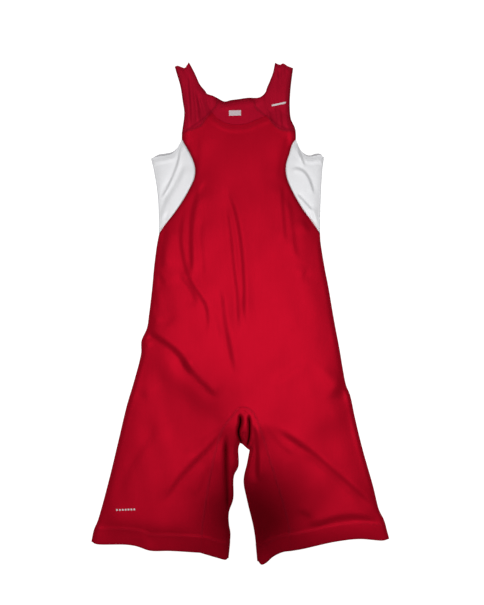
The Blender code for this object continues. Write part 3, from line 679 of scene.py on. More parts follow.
def welt(x, y, layer):
    """Height of the low welt along the seams."""
    return WELT * np.exp(-(nearest(SEAMS[layer], x, y) / WELT_REACH)**2)


def slack(x, y):
    """Faint uneven swells, so that no part of the cloth is quite flat."""
    return SLACK * (np.sin(x / 11.0 + 1.3 * np.sin(y / 37.0)) * np.sin(y / 29.0 + 0.7)
                    + 0.6 * np.sin(x / 23.0 - y / 17.0 + 0.4) + 0.4 * np.sin(x / 7.1 + y / 31.0))


print("double cloth at the hem:", turned_band(np.array([-200.0]), np.array([-450.0]), "front")[0])

# %% [markdown]
# ## Painted shade of tucked cloth
# Little light comes to where cloth turns under or lies against itself: at its edges, its folds and its
# seams, and most of all in the pinched folds at the crotch. Light alone can't show this at the size of a
# thread, so shade is painted into the cloth there, as an attribute that darkens the colour in its finish.

# %% Painted shade of tucked cloth
# Painted shade in the pinched folds: the crease depth at which it is full, where it starts, how fast it
# grows.
FOLD_SHADE_DEPTH = 10.0
FOLD_SHADE_START = 0.1
FOLD_SHADE_GAIN = 1.5
# Painted shade along edges, folds and seams: its lines, its reach in mm and its darkness.
SHADED_EDGES = {
    "side folds": {"lines": SIDES, "reach": 2.2, "depth": 0.3},
    "panel seams": {"lines": list(PANEL_SEAMS.values()), "reach": 3.4, "depth": 0.5},
    "straps and armholes": {"lines": both_sides("strap_armhole", "armhole", "strap_neck_back"),
                            "reach": 3.2, "depth": 0.45},
    "back of the neck": {"lines": BACK_NECK, "reach": 5.5, "depth": 0.5},
    "raglan seams": {"lines": both_sides("raglan_front", "raglan_back"), "reach": 2.4, "depth": 0.28},
    "hems": {"lines": HEMS, "reach": 2.6, "depth": 0.3},
}


def painted_fold_shade(x, y):
    """Painted shade: 1 deep in the pinched folds, where the cloth lies against itself and no light comes,
    else 0.
    """
    return np.clip((-crease_heights(x, y, PINCHES) / FOLD_SHADE_DEPTH - FOLD_SHADE_START) * FOLD_SHADE_GAIN, 0, 1)


def painted_edge_shade(x, y):
    """How much painted shade the cloth gets where it turns under, at its edges and folds, and in its seams.
    """
    return np.max([edge["depth"] * np.exp(-(nearest(edge["lines"], x, y) / edge["reach"])**2)
                   for edge in SHADED_EDGES.values()], axis=0)


print("shaded edges:", ", ".join(SHADED_EDGES))

# %% [markdown]
# ## Front layer
# The front rises a few millimetres away from its folds, because slack cloth holds some air. It rises
# steeply over the fold itself and then slowly, and comes down again towards the open edges. The white
# panels lie flatter, with a narrow ditch along their seam. The crotch stands highest. A cloth simulation
# could give such a form, but not these creases in these places, so height is a sum of plain curves.

# %% Front layer
SHOULDER_OF_FOLD = 1.5
SHOULDER_REACH = {"body": 2.0, "panel": 12.0}
PUFF = 7.0
PUFF_REACH = 38.0
OPEN_DROP = {"arm": 0.8, "hem": 0.6, "neck": 0.42, "neck at the straps": 0.8}
OPEN_REACH = {"arm": 6.0, "hem": 30.0, "neck": 40.0}
NECK_TOP = 380.0
NECK_BLEND = 30.0
NECK_PRESSED = 16.0
DITCH = 1.8
DITCH_REACH = {"body": 2.2, "panel": 0.9}
PANEL_SPAN = (160, 348.5)
FOLD_REACH = 14.0
CROTCH_RISE = 5.5
CROTCH_CENTRE = (6, -232)
CROTCH_SPREAD = 42.0
CROTCH_REACH = 8.0
CROTCH_FREE = 4.0


def on_panel(x, y):
    """True on the white side panels, which lie flatter than the body."""
    beyond = [TURN[side] * beside(line, x, y)[0] < 0 for side, line in PANEL_SEAMS.items()]
    return (beyond[0] | beyond[1]) & (y > PANEL_SPAN[0]) & (y < PANEL_SPAN[1])


def front_loft(x, y, from_fold):
    """Height that the air under the front gives it, without its creases."""
    from_panel_fold = np.maximum(nearest(PANEL_FOLDS, x, y) - FOLD_INSET, 0)
    near_fold = 1 - np.exp(-np.maximum(from_fold, 0) / SHOULDER_REACH["body"])
    near_fold = near_fold * (1 - np.exp(-from_panel_fold / SHOULDER_REACH["panel"]))
    panel = on_panel(x, y)
    broad = np.where(panel, 0, PUFF * (1 - np.exp(-nearest(SIDES, x, y) / PUFF_REACH)))
    loft = (SHOULDER_OF_FOLD + broad) * near_fold
    loft = loft * (1 - OPEN_DROP["hem"] * np.exp(-nearest(HEMS, x, y) / OPEN_REACH["hem"]))
    loft = loft * (1 - OPEN_DROP["arm"] * np.exp(-nearest(ARM_EDGES, x, y) / OPEN_REACH["arm"]))
    beside_strap = ease((y - NECK_TOP) / NECK_BLEND)
    neck_drop = OPEN_DROP["neck"] + (OPEN_DROP["neck at the straps"] - OPEN_DROP["neck"]) * beside_strap
    loft = loft * (1 - neck_drop * np.exp(-nearest(NECK_EDGES, x, y) / OPEN_REACH["neck"]))
    ditch_reach = np.where(panel, DITCH_REACH["panel"], DITCH_REACH["body"])
    loft = loft - DITCH * np.exp(-nearest(PANEL_SEAMS.values(), x, y) / ditch_reach) * near_fold
    crotch = np.hypot(x - CROTCH_CENTRE[0], y - CROTCH_CENTRE[1]) / CROTCH_SPREAD
    return loft + CROTCH_RISE * np.exp(-crotch**2) * ease(from_fold / CROTCH_REACH)


def front_height(x, y):
    """Height of the middle of the front layer over the floor."""
    from_fold = nearest(FOLDED_EDGES, x, y) - FOLD_INSET
    creases = crease_heights(x, y, CREASES) + crease_heights(x, y, GATHERS) + slack(x, y)
    pinches = crease_heights(x, y, PINCHES) * ease(from_fold / CROTCH_FREE)
    loft = front_loft(x, y, from_fold) + creases * ease(from_fold / FOLD_REACH) + pinches
    double = turned_band(x, y, "front") * ease(nearest(NECK_EDGES, x, y) / NECK_PRESSED) * CLOTH / 2
    sewn = (double + welt(x, y, "front")) * ease(from_fold / BAND_STEP)
    return FRONT_Z + np.maximum(loft, 0) + sewn


chest = front_height(np.array([40.0]), np.array([250.0]))[0]
print("height at the chest, over the floor:", round(chest, 2), "mm")

# %% [markdown]
# ## Back layer
# The back lies on the floor, with low ridges for its creases. Behind the neck it rolls up a little, as
# a free edge of knit does, and it stays under the front wherever the two lie on each other.

# %% Back layer
BACK_NECK_RISE = 4.6
BACK_NECK_REACH = {"roll": 5.0, "rise": 75.0}


def back_height(x, y):
    """Height of the middle of the back layer over the floor."""
    from_fold = nearest(FOLDED_EDGES, x, y) - FOLD_INSET
    ridges = np.maximum(-crease_heights(x, y, BACK_CREASES), 0) * ease(from_fold / FOLD_REACH)
    from_neck = nearest(BACK_NECK, x, y)
    rise = 1 - np.exp(-from_neck / BACK_NECK_REACH["roll"])
    rise = BACK_NECK_RISE * rise * np.exp(-(from_neck / BACK_NECK_REACH["rise"]) ** 2)
    return BACK_Z + ridges + rise + turned_band(x, y, "back") * CLOTH / 2 * ease(from_fold / BAND_STEP)


def on_layer(points, layer):
    """Gives points of the front or the back layer their height."""
    points = np.array(points, float)
    shape = points.shape[:-1]
    x, y = points[..., 0].ravel(), points[..., 1].ravel()
    heights = front_height(x, y)
    if layer == "back":
        heights = np.minimum(back_height(x, y), np.maximum(heights - LAYER_GAP, BACK_Z))
    return np.concatenate([points, heights.reshape(*shape, 1)], axis=-1)


behind_neck = on_layer([(-5.0, 410.0)], "back")[0]
print("height of the back behind the neck:", round(behind_neck[2], 2), "mm")

# %% [markdown]
# ## Rows of points
# A cut piece is filled in as a tailor would lay out its grain: rows of points go from one edge to the
# other, each a few millimetres after the last. The rows bend near both ends of the piece so that they
# follow its end edges. Where a piece is folded, its rows go round a half circle to the other layer.

# %% Rows of points
ARMHOLE_ROWS = 4
PANEL_ROWS = 66
WAIST_ROWS = 88
LEG_ROWS = 122
CROTCH_ROWS = 28
EDGE_STEPS = 6
RAGLAN_STEPS = 30
NECK_STEPS = 38
FOLD_STEPS = 8
PANEL_STEPS = 52
GUSSET_STEPS = 26
STRAP_ROWS = {"front": 56, "back": 36}
LEG_GRADE = 1.15
STRAP_GRADE = 1.1
HEM_BEND = 0.2
TIP_SETBACK = 2.5
TIP_ROW = ARMHOLE_ROWS + PANEL_ROWS
CROTCH_ROW = TIP_ROW + WAIST_ROWS
LAST_ROW = CROTCH_ROW + LEG_ROWS
ROUND_FOLD = math.pi * even(FOLD_STEPS)[1:-1]


def fitted(line, start, end):
    """Shifts a line so that it begins and ends at these points, and less and less towards its middle."""
    share = even(len(line) - 1)[:, None]
    return line + (start - line[0]) * (1 - share) ** 3 + (end - line[-1]) * share ** 3


def patch(first, last, start_row, end_row, start_fade, end_fade):
    """Fills in points between two side lines, bent near both ends to follow the end rows."""
    first, last = first.copy(), last.copy()
    first[0], last[0] = start_row[0], start_row[-1]
    first[-1], last[-1] = end_row[0], end_row[-1]
    across = np.linspace(0, 1, len(start_row))[None, :, None]
    rows = first[:, None, :] * (1 - across) + last[:, None, :] * across
    start_bend = (start_row - rows[0])[None]
    end_bend = (end_row - rows[-1])[None]
    return rows + start_fade[:, None, None] * start_bend + end_fade[:, None, None] * end_bend


def fold_points(start, outward, angles):
    """Points round a fold, from the front layer at angle 0 to the back layer at half a turn."""
    reach = FOLD_RADIUS * np.sin(angles)[:, None] * np.array(outward)[None]
    return np.column_stack([np.array(start)[None] + reach, FOLD_Z + FOLD_RADIUS * np.cos(angles)])


def seam_stations(side, name, fractions, into):
    """Points along a seam, and the way into the body at each."""
    line = smooth(OUTLINES[side][name], fractions)
    return line, into * TURN[side] * left_of(line)


def folded_rows(layers, flat_start, outward):
    """Rows that run over the front layer, round the fold and on under it."""
    return [np.vstack([layers["front"][index], fold_points(flat_start[index], outward[index], ROUND_FOLD),
                       layers["back"][index][::-1]]) for index in range(len(flat_start))]


def gusset_seam(side):
    """Points along a gusset seam from the crotch down, and the way into the body at each."""
    line, into_body = seam_stations(side, "gusset_seam", even(LEG_ROWS) ** LEG_GRADE, -1)
    into_body[0] = (0, 1)
    return line, into_body


print("rows from the armhole to the hem:", LAST_ROW + 1)

# %% [markdown]
# ## Front and back
# Each half of the front or back has one row for every few millimetres from the armhole to the hem. The
# first points of a row follow the seam of the side panel, or go round half of the side fold. The others
# cross to the middle of the suit, and below the crotch to the seam of the gusset.

# %% Front and back
def body_side(side, layer):
    """Rows of points for one half of the front or back, each from the side to the middle."""
    outline = OUTLINES[side]
    seam, into_body = seam_stations(side, "panel_seam", even(PANEL_ROWS), 1)
    armhole = smooth(outline["armhole"], even(ARMHOLE_ROWS))[:-1]
    fold = np.vstack([smooth(outline["waist_fold"], even(WAIST_ROWS)),
                      smooth(outline["leg_fold"], even(LEG_ROWS))[1:]])
    edge = np.vstack([armhole, seam[:-1], fold])
    inward = np.vstack([np.repeat(into_body[:1], ARMHOLE_ROWS, axis=0), into_body[:-1],
                        TURN[side] * left_of(fold)])
    edge[:TIP_ROW] += inward[:TIP_ROW] * SEAM_GAP / 2
    top, into_top = seam_stations(side, "raglan_" + layer, even(RAGLAN_STEPS), -1)
    top = top + into_top * SEAM_GAP / 2
    beside_raglan = (top[EDGE_STEPS] - top[0]) / np.linalg.norm(top[EDGE_STEPS] - top[0])
    turned = ease(np.arange(TIP_ROW) / TIP_ROW * 2)[:, None]
    inward[:TIP_ROW] = beside_raglan * (1 - turned) + inward[:TIP_ROW] * turned
    inward /= np.linalg.norm(inward, axis=1)[:, None]
    lead = np.full(len(edge), FOLD_INSET)
    lead_at_top = np.linalg.norm(top[EDGE_STEPS] - top[0])
    lead[:TIP_ROW] += (lead_at_top - FOLD_INSET) * (1 - np.arange(TIP_ROW) / TIP_ROW)
    flat_start = edge + inward * lead[:, None]

    legs, into_leg = gusset_seam(side)
    middle = np.vstack([smooth(MIDDLE[layer], even(CROTCH_ROW)), legs[1:] + into_leg[1:] * SEAM_GAP / 2])
    middle[CROTCH_ROW] += into_leg[0] * SEAM_GAP / 2

    neck = smooth(outline["neck_" + layer], even(NECK_STEPS))
    top_row = np.vstack([top[EDGE_STEPS:], neck[1:]])
    hem_row = fitted(smooth(outline["hem"], even(len(top_row) - 1)), flat_start[-1], middle[-1])
    row = np.arange(LAST_ROW + 1)
    down_to_crotch = np.clip(row / CROTCH_ROW, 0, 1)
    down_leg = np.clip((row - CROTCH_ROW) / LEG_ROWS, 0, 1)
    flat = on_layer(patch(flat_start, middle, top_row, hem_row,
                          (1 - down_to_crotch) ** 2, ease(2 * down_leg - 1)), layer)

    lip_angles = math.pi / 2 * (1 - np.arange(EDGE_STEPS) / EDGE_STEPS)
    lip_angles[0] -= SEAM_GAP / 2 / FOLD_RADIUS
    rows = np.zeros((LAST_ROW + 1, EDGE_STEPS + flat.shape[1], 3))
    rows[:, EDGE_STEPS:] = flat
    steps = np.arange(EDGE_STEPS)[None, :, None] / EDGE_STEPS
    beside_panel = edge[:TIP_ROW, None] + (inward * lead[:, None])[:TIP_ROW, None] * steps
    beside_panel[0] = top[:EDGE_STEPS]
    rows[:TIP_ROW, :EDGE_STEPS] = on_layer(beside_panel, layer)
    for index in range(TIP_ROW, LAST_ROW + 1):
        lip = fold_points(flat_start[index], -inward[index], lip_angles)
        if layer == "back":
            lip[:, 2] = 2 * FOLD_Z - lip[:, 2]
        rows[index, :EDGE_STEPS] = lip
    return rows


PATCHES = {layer: [body_side(side, layer) for side in OUTLINES] for layer in LAYERS}
print("points of the front:", sum(rows[..., 0].size for rows in PATCHES["front"]))

# %% [markdown]
# ## Panels, straps and gusset
# These pieces go round a fold, so each row has a front part, a half circle and a back part. A side panel
# ends in a point at the waist, where all points of the last row fall together. A strap runs lengthways
# over the shoulder. The gusset runs up one inner leg, through the crotch and down the other.

# %% Panels, straps and gusset
def side_panel_rows(side):
    """Rows down one side panel, each from the front seam round the side to the back seam."""
    outline = OUTLINES[side]
    seam, into_body = seam_stations(side, "panel_seam", even(PANEL_ROWS), 1)
    seam = seam - into_body * SEAM_GAP / 2
    points = outline["panel_fold"]
    line = smooth(points, even(PANEL_ROWS) * (1 - TIP_SETBACK / length_of(points)))
    outward = -TURN[side] * left_of(line)
    flat_start = line - outward * FOLD_INSET
    fade = (1 - even(PANEL_ROWS)) ** 2
    layers = {}
    for layer in LAYERS:
        armhole = fitted(smooth(outline["panel_edge_" + layer], even(PANEL_STEPS)), seam[0], flat_start[0])
        tip = np.linspace(seam[-1], flat_start[-1], PANEL_STEPS + 1)
        layers[layer] = on_layer(patch(seam, flat_start, armhole, tip, fade, 1 - fade), layer)
    rows = folded_rows(layers, flat_start, outward)[:PANEL_ROWS]
    rows.append(np.repeat([[*seam[-1], FOLD_Z]], len(rows[0]), axis=0))
    return np.array(rows)


def shoulder_rows(side):
    """Rows of one shoulder piece, from its front raglan seam over the shoulder to the back one."""
    outline = OUTLINES[side]
    top = smooth(outline["strap_top"], even(RAGLAN_STEPS)) - (0, FOLD_INSET)
    layers = {}
    for layer in LAYERS:
        stations = even(STRAP_ROWS[layer]) ** STRAP_GRADE
        seam, into_body = seam_stations(side, "raglan_" + layer, even(RAGLAN_STEPS), -1)
        seam = seam - into_body * SEAM_GAP / 2
        fade = 1 - even(STRAP_ROWS[layer])
        armhole = smooth(outline["strap_armhole"], stations)
        neck = smooth(outline["strap_neck_" + layer], stations)
        layers[layer] = on_layer(patch(armhole, neck, seam, top, fade, 1 - fade), layer)
    strip = np.array([fold_points(point, (0, 1), ROUND_FOLD) for point in top])
    return np.vstack([layers["front"], strip.transpose(1, 0, 2), layers["back"][::-1]])


def gusset_rows():
    """Rows round the gusset from hem to hem, each from its front seam round the fold to its back seam."""
    right, right_body = gusset_seam("right")
    left, left_body = gusset_seam("left")
    right, left = right - right_body * SEAM_GAP / 2, left - left_body * SEAM_GAP / 2
    seam = np.vstack([right[::-1], left[1:]])
    beside_crotch = CROTCH_ROWS // 2
    stations = even(LEG_ROWS - beside_crotch) ** LEG_GRADE
    inner = [smooth(OUTLINES[side]["inner_leg"], stations) for side in ("right", "left")]
    crotch = smooth(CROTCH_EDGE, even(CROTCH_ROWS))
    line = np.vstack([inner[0][::-1], crotch[1:-1], inner[1]])
    outward = -left_of(line)
    flat_start = line - outward * FOLD_INSET
    share = even(2 * LEG_ROWS)
    hem_fades = ease(1 - share / HEM_BEND), ease(1 - (1 - share) / HEM_BEND)
    layers = {}
    for layer in LAYERS:
        ends = []
        for side, index in (("right", 0), ("left", -1)):
            hem = smooth(OUTLINES[side]["gusset_hem"], even(GUSSET_STEPS))
            ends.append(fitted(hem, seam[index], flat_start[index]))
        layers[layer] = on_layer(patch(seam, flat_start, *ends, *hem_fades), layer)
    return np.array(folded_rows(layers, flat_start, outward))


PATCHES["panel_right"] = [side_panel_rows("right")]
PATCHES["panel_left"] = [side_panel_rows("left")]
PATCHES["strap_right"] = [shoulder_rows("right")]
PATCHES["strap_left"] = [shoulder_rows("left")]
PATCHES["gusset"] = [gusset_rows()]
print("points:", {name: sum(rows[..., 0].size for rows in patches) for name, patches in PATCHES.items()})

# %% [markdown]
# ## Map of the cloth
# The knit has to keep its size where the cloth goes round a fold or over a crease. So every point also
# gets its place on the flat cloth, in metres: its place seen from above, and the distance walked where
# the cloth turns down and hides some of its length.

# %% Map of the cloth
SOLIDS = {"front": "front_body", "back": "back_body", "panel_right": "side_panel_right",
          "panel_left": "side_panel_left", "strap_right": "shoulder_right",
          "strap_left": "shoulder_left", "gusset": "gusset"}
FINISH_OF = {"front": "red_knit", "back": "red_knit", "gusset": "red_knit", "panel_right": "white_knit",
             "panel_left": "white_knit", "strap_right": "strap_knit", "strap_left": "strap_knit"}
PIECE_NAMES = {"front": "front", "back": "back", "panel_right": "side_panel_of_the_right",
               "panel_left": "side_panel_of_the_left", "strap_right": "strap_of_the_right",
               "strap_left": "strap_of_the_left", "gusset": "inner_leg_gusset"}
STEEP = 1.2


def cloth_places(rows, along_rows):
    """Flat place of each point, in metres: x and y, plus what a fold hides, walked from its start."""
    axis = 1 if along_rows else 0
    lengths = np.linalg.norm(np.diff(rows, axis=axis), axis=2)
    flat = np.linalg.norm(np.diff(rows[..., :2], axis=axis), axis=2)
    hidden = np.cumsum(lengths - flat * (lengths < STEEP * flat), axis=axis)
    places = rows[..., :2].copy()
    shift = np.zeros(rows.shape[:2])
    if along_rows:
        shift[:, 1:] = hidden
        places[..., 0] += shift
    else:
        shift[1:] = hidden
        places[..., 1] += shift
    return places * MM


panel_map = cloth_places(PATCHES["panel_right"][0], True)
print("width of a panel on the flat cloth, in mm:", round(np.ptp(panel_map[..., 0]) / MM))

# %% [markdown]
# ## Sheets of quads
# The rows of points of a piece are joined to a sheet of quads. The two halves of the front and the back
# meet in the middle, so points in one place are merged there, and at the point of a side panel. The
# sheet carries its cloth map and the painted shade of its tucked places.

# %% Sheets of quads
WELD_DIGITS = 3


def quad_sheet(key):
    """Makes the sheet of one cut piece, and gives its points in millimetres as well."""
    points, places, faces, count = [], [], [], 0
    for rows in PATCHES[key]:
        high, wide = rows.shape[:2]
        index = count + np.arange(high * wide).reshape(high, wide)
        faces.append(np.stack([index[:-1, :-1], index[:-1, 1:], index[1:, 1:], index[1:, :-1]], axis=-1))
        points.append(rows.reshape(-1, 3))
        places.append(cloth_places(rows, not key.startswith("strap")).reshape(-1, 2))
        count += high * wide
    points, places = np.vstack(points), np.vstack(places)
    quads = np.vstack([face.reshape(-1, 4) for face in faces])
    first, merged = np.unique(np.round(points, WELD_DIGITS), axis=0, return_index=True,
                              return_inverse=True)[1:]
    corners = [list(dict.fromkeys(face)) for face in merged.reshape(-1)[quads].tolist()]
    corners = [face for face in corners if len(face) > 2]
    mesh = bpy.data.meshes.new(PIECE_NAMES[key])
    mesh.from_pydata((points[first] * MM).tolist(), [], corners)
    shape = bmesh.new()
    shape.from_mesh(mesh)
    bmesh.ops.recalc_face_normals(shape, faces=shape.faces)
    shape.to_mesh(mesh)
    shape.free()
    cloth_map = mesh.uv_layers.new(name="cloth")
    loops = np.zeros(len(mesh.loops), int)
    mesh.loops.foreach_get("vertex_index", loops)
    cloth_map.data.foreach_set("uv", places[first][loops].ravel())
    mesh.shade_smooth()
    mesh.materials.append(FINISHES[FINISH_OF[key]])
    piece = bpy.data.objects.new(PIECE_NAMES[key], mesh)
    scene.collection.objects.link(piece)
    points = points[first]
    if not key.startswith("panel"):
        x, y = points[:, 0], points[:, 1]
        # Painted shade: at the tucked edges, and on the gusset's upper side deep in its pinched folds.
        painted_shade = mesh.attributes.new("painted_shade", "FLOAT", "POINT")
        painted_gusset_shade = painted_fold_shade(x, y) * (points[:, 2] > FOLD_Z) if key == "gusset" else 0.0
        painted_shade.data.foreach_set("value", np.maximum(painted_edge_shade(x, y), painted_gusset_shade))
    return piece, points


print("pieces to make:", ", ".join(PATCHES))

# %% [markdown]
# ## Cut pieces
# Solidify gives each sheet its wall. Turned hems and edges are two layers of cloth, so a vertex group
# makes the wall there twice as thick. Faces that look up from inside the suit get the darker inner side
# of the cloth, its duller reverse with painted shade. Each piece then takes the place of its solid.

# %% Cut pieces
SINGLE = 0.5
RIM_ANGLE = math.radians(50)


def sew_piece(key):
    """Makes one cut piece from its rows of points."""
    piece, points = quad_sheet(key)
    double = turned_band(points[:, 0], points[:, 1], "back" if key == "back" else "front")
    group = piece.vertex_groups.new(name="wall")
    for number, weight in enumerate(SINGLE + (1 - SINGLE) * double):
        group.add([number], float(weight), "REPLACE")
    wall = piece.modifiers.new("cloth wall", "SOLIDIFY")
    wall.thickness = CLOTH / SINGLE * MM
    wall.offset = 0
    wall.vertex_group = "wall"
    bpy.context.view_layer.objects.active = piece
    bpy.ops.object.modifier_apply(modifier=wall.name)
    piece.data.set_sharp_from_angle(angle=RIM_ANGLE)
    piece.data.name = PIECE_NAMES[key]
    # Inside faces get the inner-side finish: the knit's duller reverse with painted shade.
    if key not in ("front", "gusset"):
        piece.data.materials.append(FINISHES[FINISH_OF[key].replace("knit", "reverse")])
        for face in piece.data.polygons:
            if face.normal.z > 0 and (key == "back" or face.center.z < FOLD_Z * MM):
                face.material_index = 1
    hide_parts(SOLIDS[key])
    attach(piece, "root")
    print(PIECE_NAMES[key], "faces:", len(piece.data.polygons))
    return piece


PIECES = {key: sew_piece(key) for key in PATCHES}

# %% [markdown]
# ## Size of each cut
# Every cut piece was once flat. Its flat size is the smallest rectangle that it could be cut from, and
# its area is that of the cut itself, measured along the middle of the cloth. Some pieces lie on the back.

# %% Size of each cut
CUTS = {
    "front": {"flat": (0.595, 0.88), "rests_on": ["back"]},
    "back": {"flat": (0.595, 0.93), "rests_on": []},
    "panel_right": {"flat": (0.18, 0.2), "rests_on": []},
    "panel_left": {"flat": (0.16, 0.2), "rests_on": []},
    "strap_right": {"flat": (0.09, 0.27), "rests_on": ["back"]},
    "strap_left": {"flat": (0.09, 0.26), "rests_on": ["back"]},
    "gusset": {"flat": (0.16, 0.62), "rests_on": ["back"]},
}


def sheet_area(key):
    """Area of the sheet of points in the middle of the wall, in square metres."""
    total = 0.0
    for rows in PATCHES[key]:
        along, across = np.diff(rows, axis=0)[:, :-1], np.diff(rows, axis=1)[:-1]
        total += np.linalg.norm(np.cross(along, across), axis=2).sum()
    return total * MM * MM


print("cloth in square metres:", {key: round(sheet_area(key), 4) for key in CUTS})

# %% [markdown]
# ## One stitch
# Running clothes are sewn with stitches that stretch. A hem or a turned edge is held by two parallel
# rows, about 3 mm apart. Two pieces are joined edge to edge by a flat seam, whose threads cross from one
# side to the other like a ladder. One stitch is modelled by hand from a short cylinder: cut into three
# lengths and pushed down at both ends, where the thread goes through the cloth. Each row of a pattern
# gives its stitches a shift along and across the line, a turn in degrees and a stretch.

# %% One stitch
STITCH_CORNERS = 5
STITCH_DIP = 1.6
STITCH = 2.5
THREAD = 0.2
PITCH = 3.0
SINGLE_ROW = ((0, 0, 0, 1),)
ACROSS = ((0, 0, 78, 0.8),)
TWIN = ((0, -1.5, 0, 1), (0, 1.5, 0, 1))
LADDER = ((0, -2.2, 0, 1), (0, 2.2, 0, 1), (0, 0, 62, 1.7), (1.5, 0, 118, 1.7))

bpy.ops.mesh.primitive_cylinder_add(vertices=STITCH_CORNERS, radius=THREAD * MM,
                                    depth=STITCH * MM, rotation=(0, math.pi / 2, 0))
stitch = bpy.context.object
bpy.ops.object.transform_apply(rotation=True)
bpy.ops.object.mode_set(mode="EDIT")
shape = bmesh.from_edit_mesh(stitch.data)
for edge in shape.edges:
    edge.select_set(abs(edge.verts[0].co.x - edge.verts[1].co.x) > STITCH * MM / 2)
bpy.ops.mesh.subdivide(number_cuts=2)
shape = bmesh.from_edit_mesh(stitch.data)
for vertex in shape.verts:
    vertex.select_set(abs(vertex.co.x) > STITCH * MM / 3)
shape.select_flush(True)
bpy.ops.transform.translate(value=(0, 0, -STITCH_DIP * THREAD * MM))
bpy.ops.object.mode_set(mode="OBJECT")
STITCH_POINTS = np.array([vertex.co for vertex in stitch.data.vertices])
STITCH_FACES = [tuple(face.vertices) for face in stitch.data.polygons]
bpy.data.objects.remove(stitch)
print("one stitch:", len(STITCH_POINTS), "points,", len(STITCH_FACES), "faces")

# %% [markdown]
# ## Lines of stitches
# The stitch is copied along lines that the rows of points give, so that they run on the cloth itself: a
# set distance in from an edge, walked over the creases. Each copy is turned to the line and stands up
# from the cloth. Instances would do it as well, but each piece gets one plain mesh.

# %% Lines of stitches
AHEAD = 0.5
LEAST_AHEAD = 0.1


def line_on(rows, edge, inset, span=slice(None)):
    """Points and outward directions on a piece, this far in from one of its edges."""
    slopes = np.cross(np.gradient(rows, axis=1), np.gradient(rows, axis=0))
    slopes /= np.maximum(np.linalg.norm(slopes, axis=2, keepdims=True), 1e-9)
    top = np.unravel_index(rows[..., 2].argmax(), rows.shape[:2])
    slopes *= np.sign(slopes[top][2])
    if edge.endswith("row"):
        rows, slopes = rows.transpose(1, 0, 2), slopes.transpose(1, 0, 2)
    if edge.startswith("last"):
        rows, slopes = rows[:, ::-1], slopes[:, ::-1]
    points, normals = [], []
    for row, slope in zip(rows[span], slopes[span]):
        walked = np.concatenate([[0], np.cumsum(np.linalg.norm(np.diff(row, axis=0), axis=1))])
        at = np.interp(inset, walked, np.arange(len(row)))
        points.append([np.interp(at, np.arange(len(row)), row[:, axis]) for axis in range(3)])
        normals.append([np.interp(at, np.arange(len(row)), slope[:, axis]) for axis in range(3)])
    return np.array(points), np.array(normals)


def stitches(points, normals, pattern, lift):
    """Points of all stitches of this pattern along a line, standing this far off the cloth's middle."""
    walked = np.concatenate([[0], np.cumsum(np.linalg.norm(np.diff(points, axis=0), axis=1))])
    stations = np.arange(PITCH, walked[-1] - PITCH, PITCH)
    made = []
    for along, across, turn, stretch in pattern:
        at = stations + along
        place = np.column_stack([np.interp(at, walked, points[:, axis]) for axis in range(3)])
        ahead = np.column_stack([np.interp(at + AHEAD, walked, points[:, axis]) for axis in range(3)])
        up = np.column_stack([np.interp(at, walked, normals[:, axis]) for axis in range(3)])
        ahead = ahead - place
        kept = np.linalg.norm(ahead, axis=1) > LEAST_AHEAD
        place, ahead, up = place[kept], ahead[kept], up[kept]
        ahead /= np.linalg.norm(ahead, axis=1)[:, None]
        up -= (up * ahead).sum(axis=1)[:, None] * ahead
        up /= np.linalg.norm(up, axis=1)[:, None]
        aside = np.cross(up, ahead)
        angle = math.radians(turn)
        long_way = ahead * math.cos(angle) + aside * math.sin(angle)
        short_way = np.cross(up, long_way)
        base = (place + aside * across + up * lift) * MM
        made.append(base[:, None] + STITCH_POINTS[None, :, :1] * stretch * long_way[:, None]
                    + STITCH_POINTS[None, :, 1:2] * short_way[:, None]
                    + STITCH_POINTS[None, :, 2:] * up[:, None])
    return np.vstack(made)


print("stitches in 100 mm of hem:", round(100 / PITCH) * len(TWIN))

# %% [markdown]
# ## Thread
# Sewing thread is twisted from finer yarns. At this size the twist is a row of slanting bands, a little
# darker and lighter, which a wave pattern gives.

# %% Thread
THREAD_ROUGHNESS = 0.55
THREAD_SHINE = 0.15
THREAD_BANDS = 900
THREAD_SHADE = 0.75


def thread(name, colour):
    """A smooth twisted thread: fine slanting bands on plain colour."""
    finish, shader = new_finish(name, THREAD_ROUGHNESS, THREAD_SHINE)
    tree = finish.node_tree
    place = tree.nodes.new("ShaderNodeTexCoord")
    bands = tree.nodes.new("ShaderNodeTexWave")
    bands.bands_direction = "DIAGONAL"
    bands.inputs["Scale"].default_value = THREAD_BANDS
    tree.links.new(place.outputs["Object"], bands.inputs["Vector"])
    banded = colour_mix(tree, bands.outputs["Fac"], darkened(colour, THREAD_SHADE), colour)
    tree.links.new(banded, shader.inputs["Base Color"])
    return finish


THREADS = {
    "red": thread("red thread", (0.56, 0.008, 0.036, 1)),
    "white": thread("white thread", (0.86, 0.86, 0.88, 1)),
}
print("threads:", ", ".join(THREADS))

# %% [markdown]
# ## Seams and hems
# Each line of sewing is named by the edge of a piece that it follows, its distance in from that edge,
# the part of the edge, and its pattern. Double cloth is thicker, so twin rows stand higher. All
# stitching of a piece is one object, in the colour of its cloth.

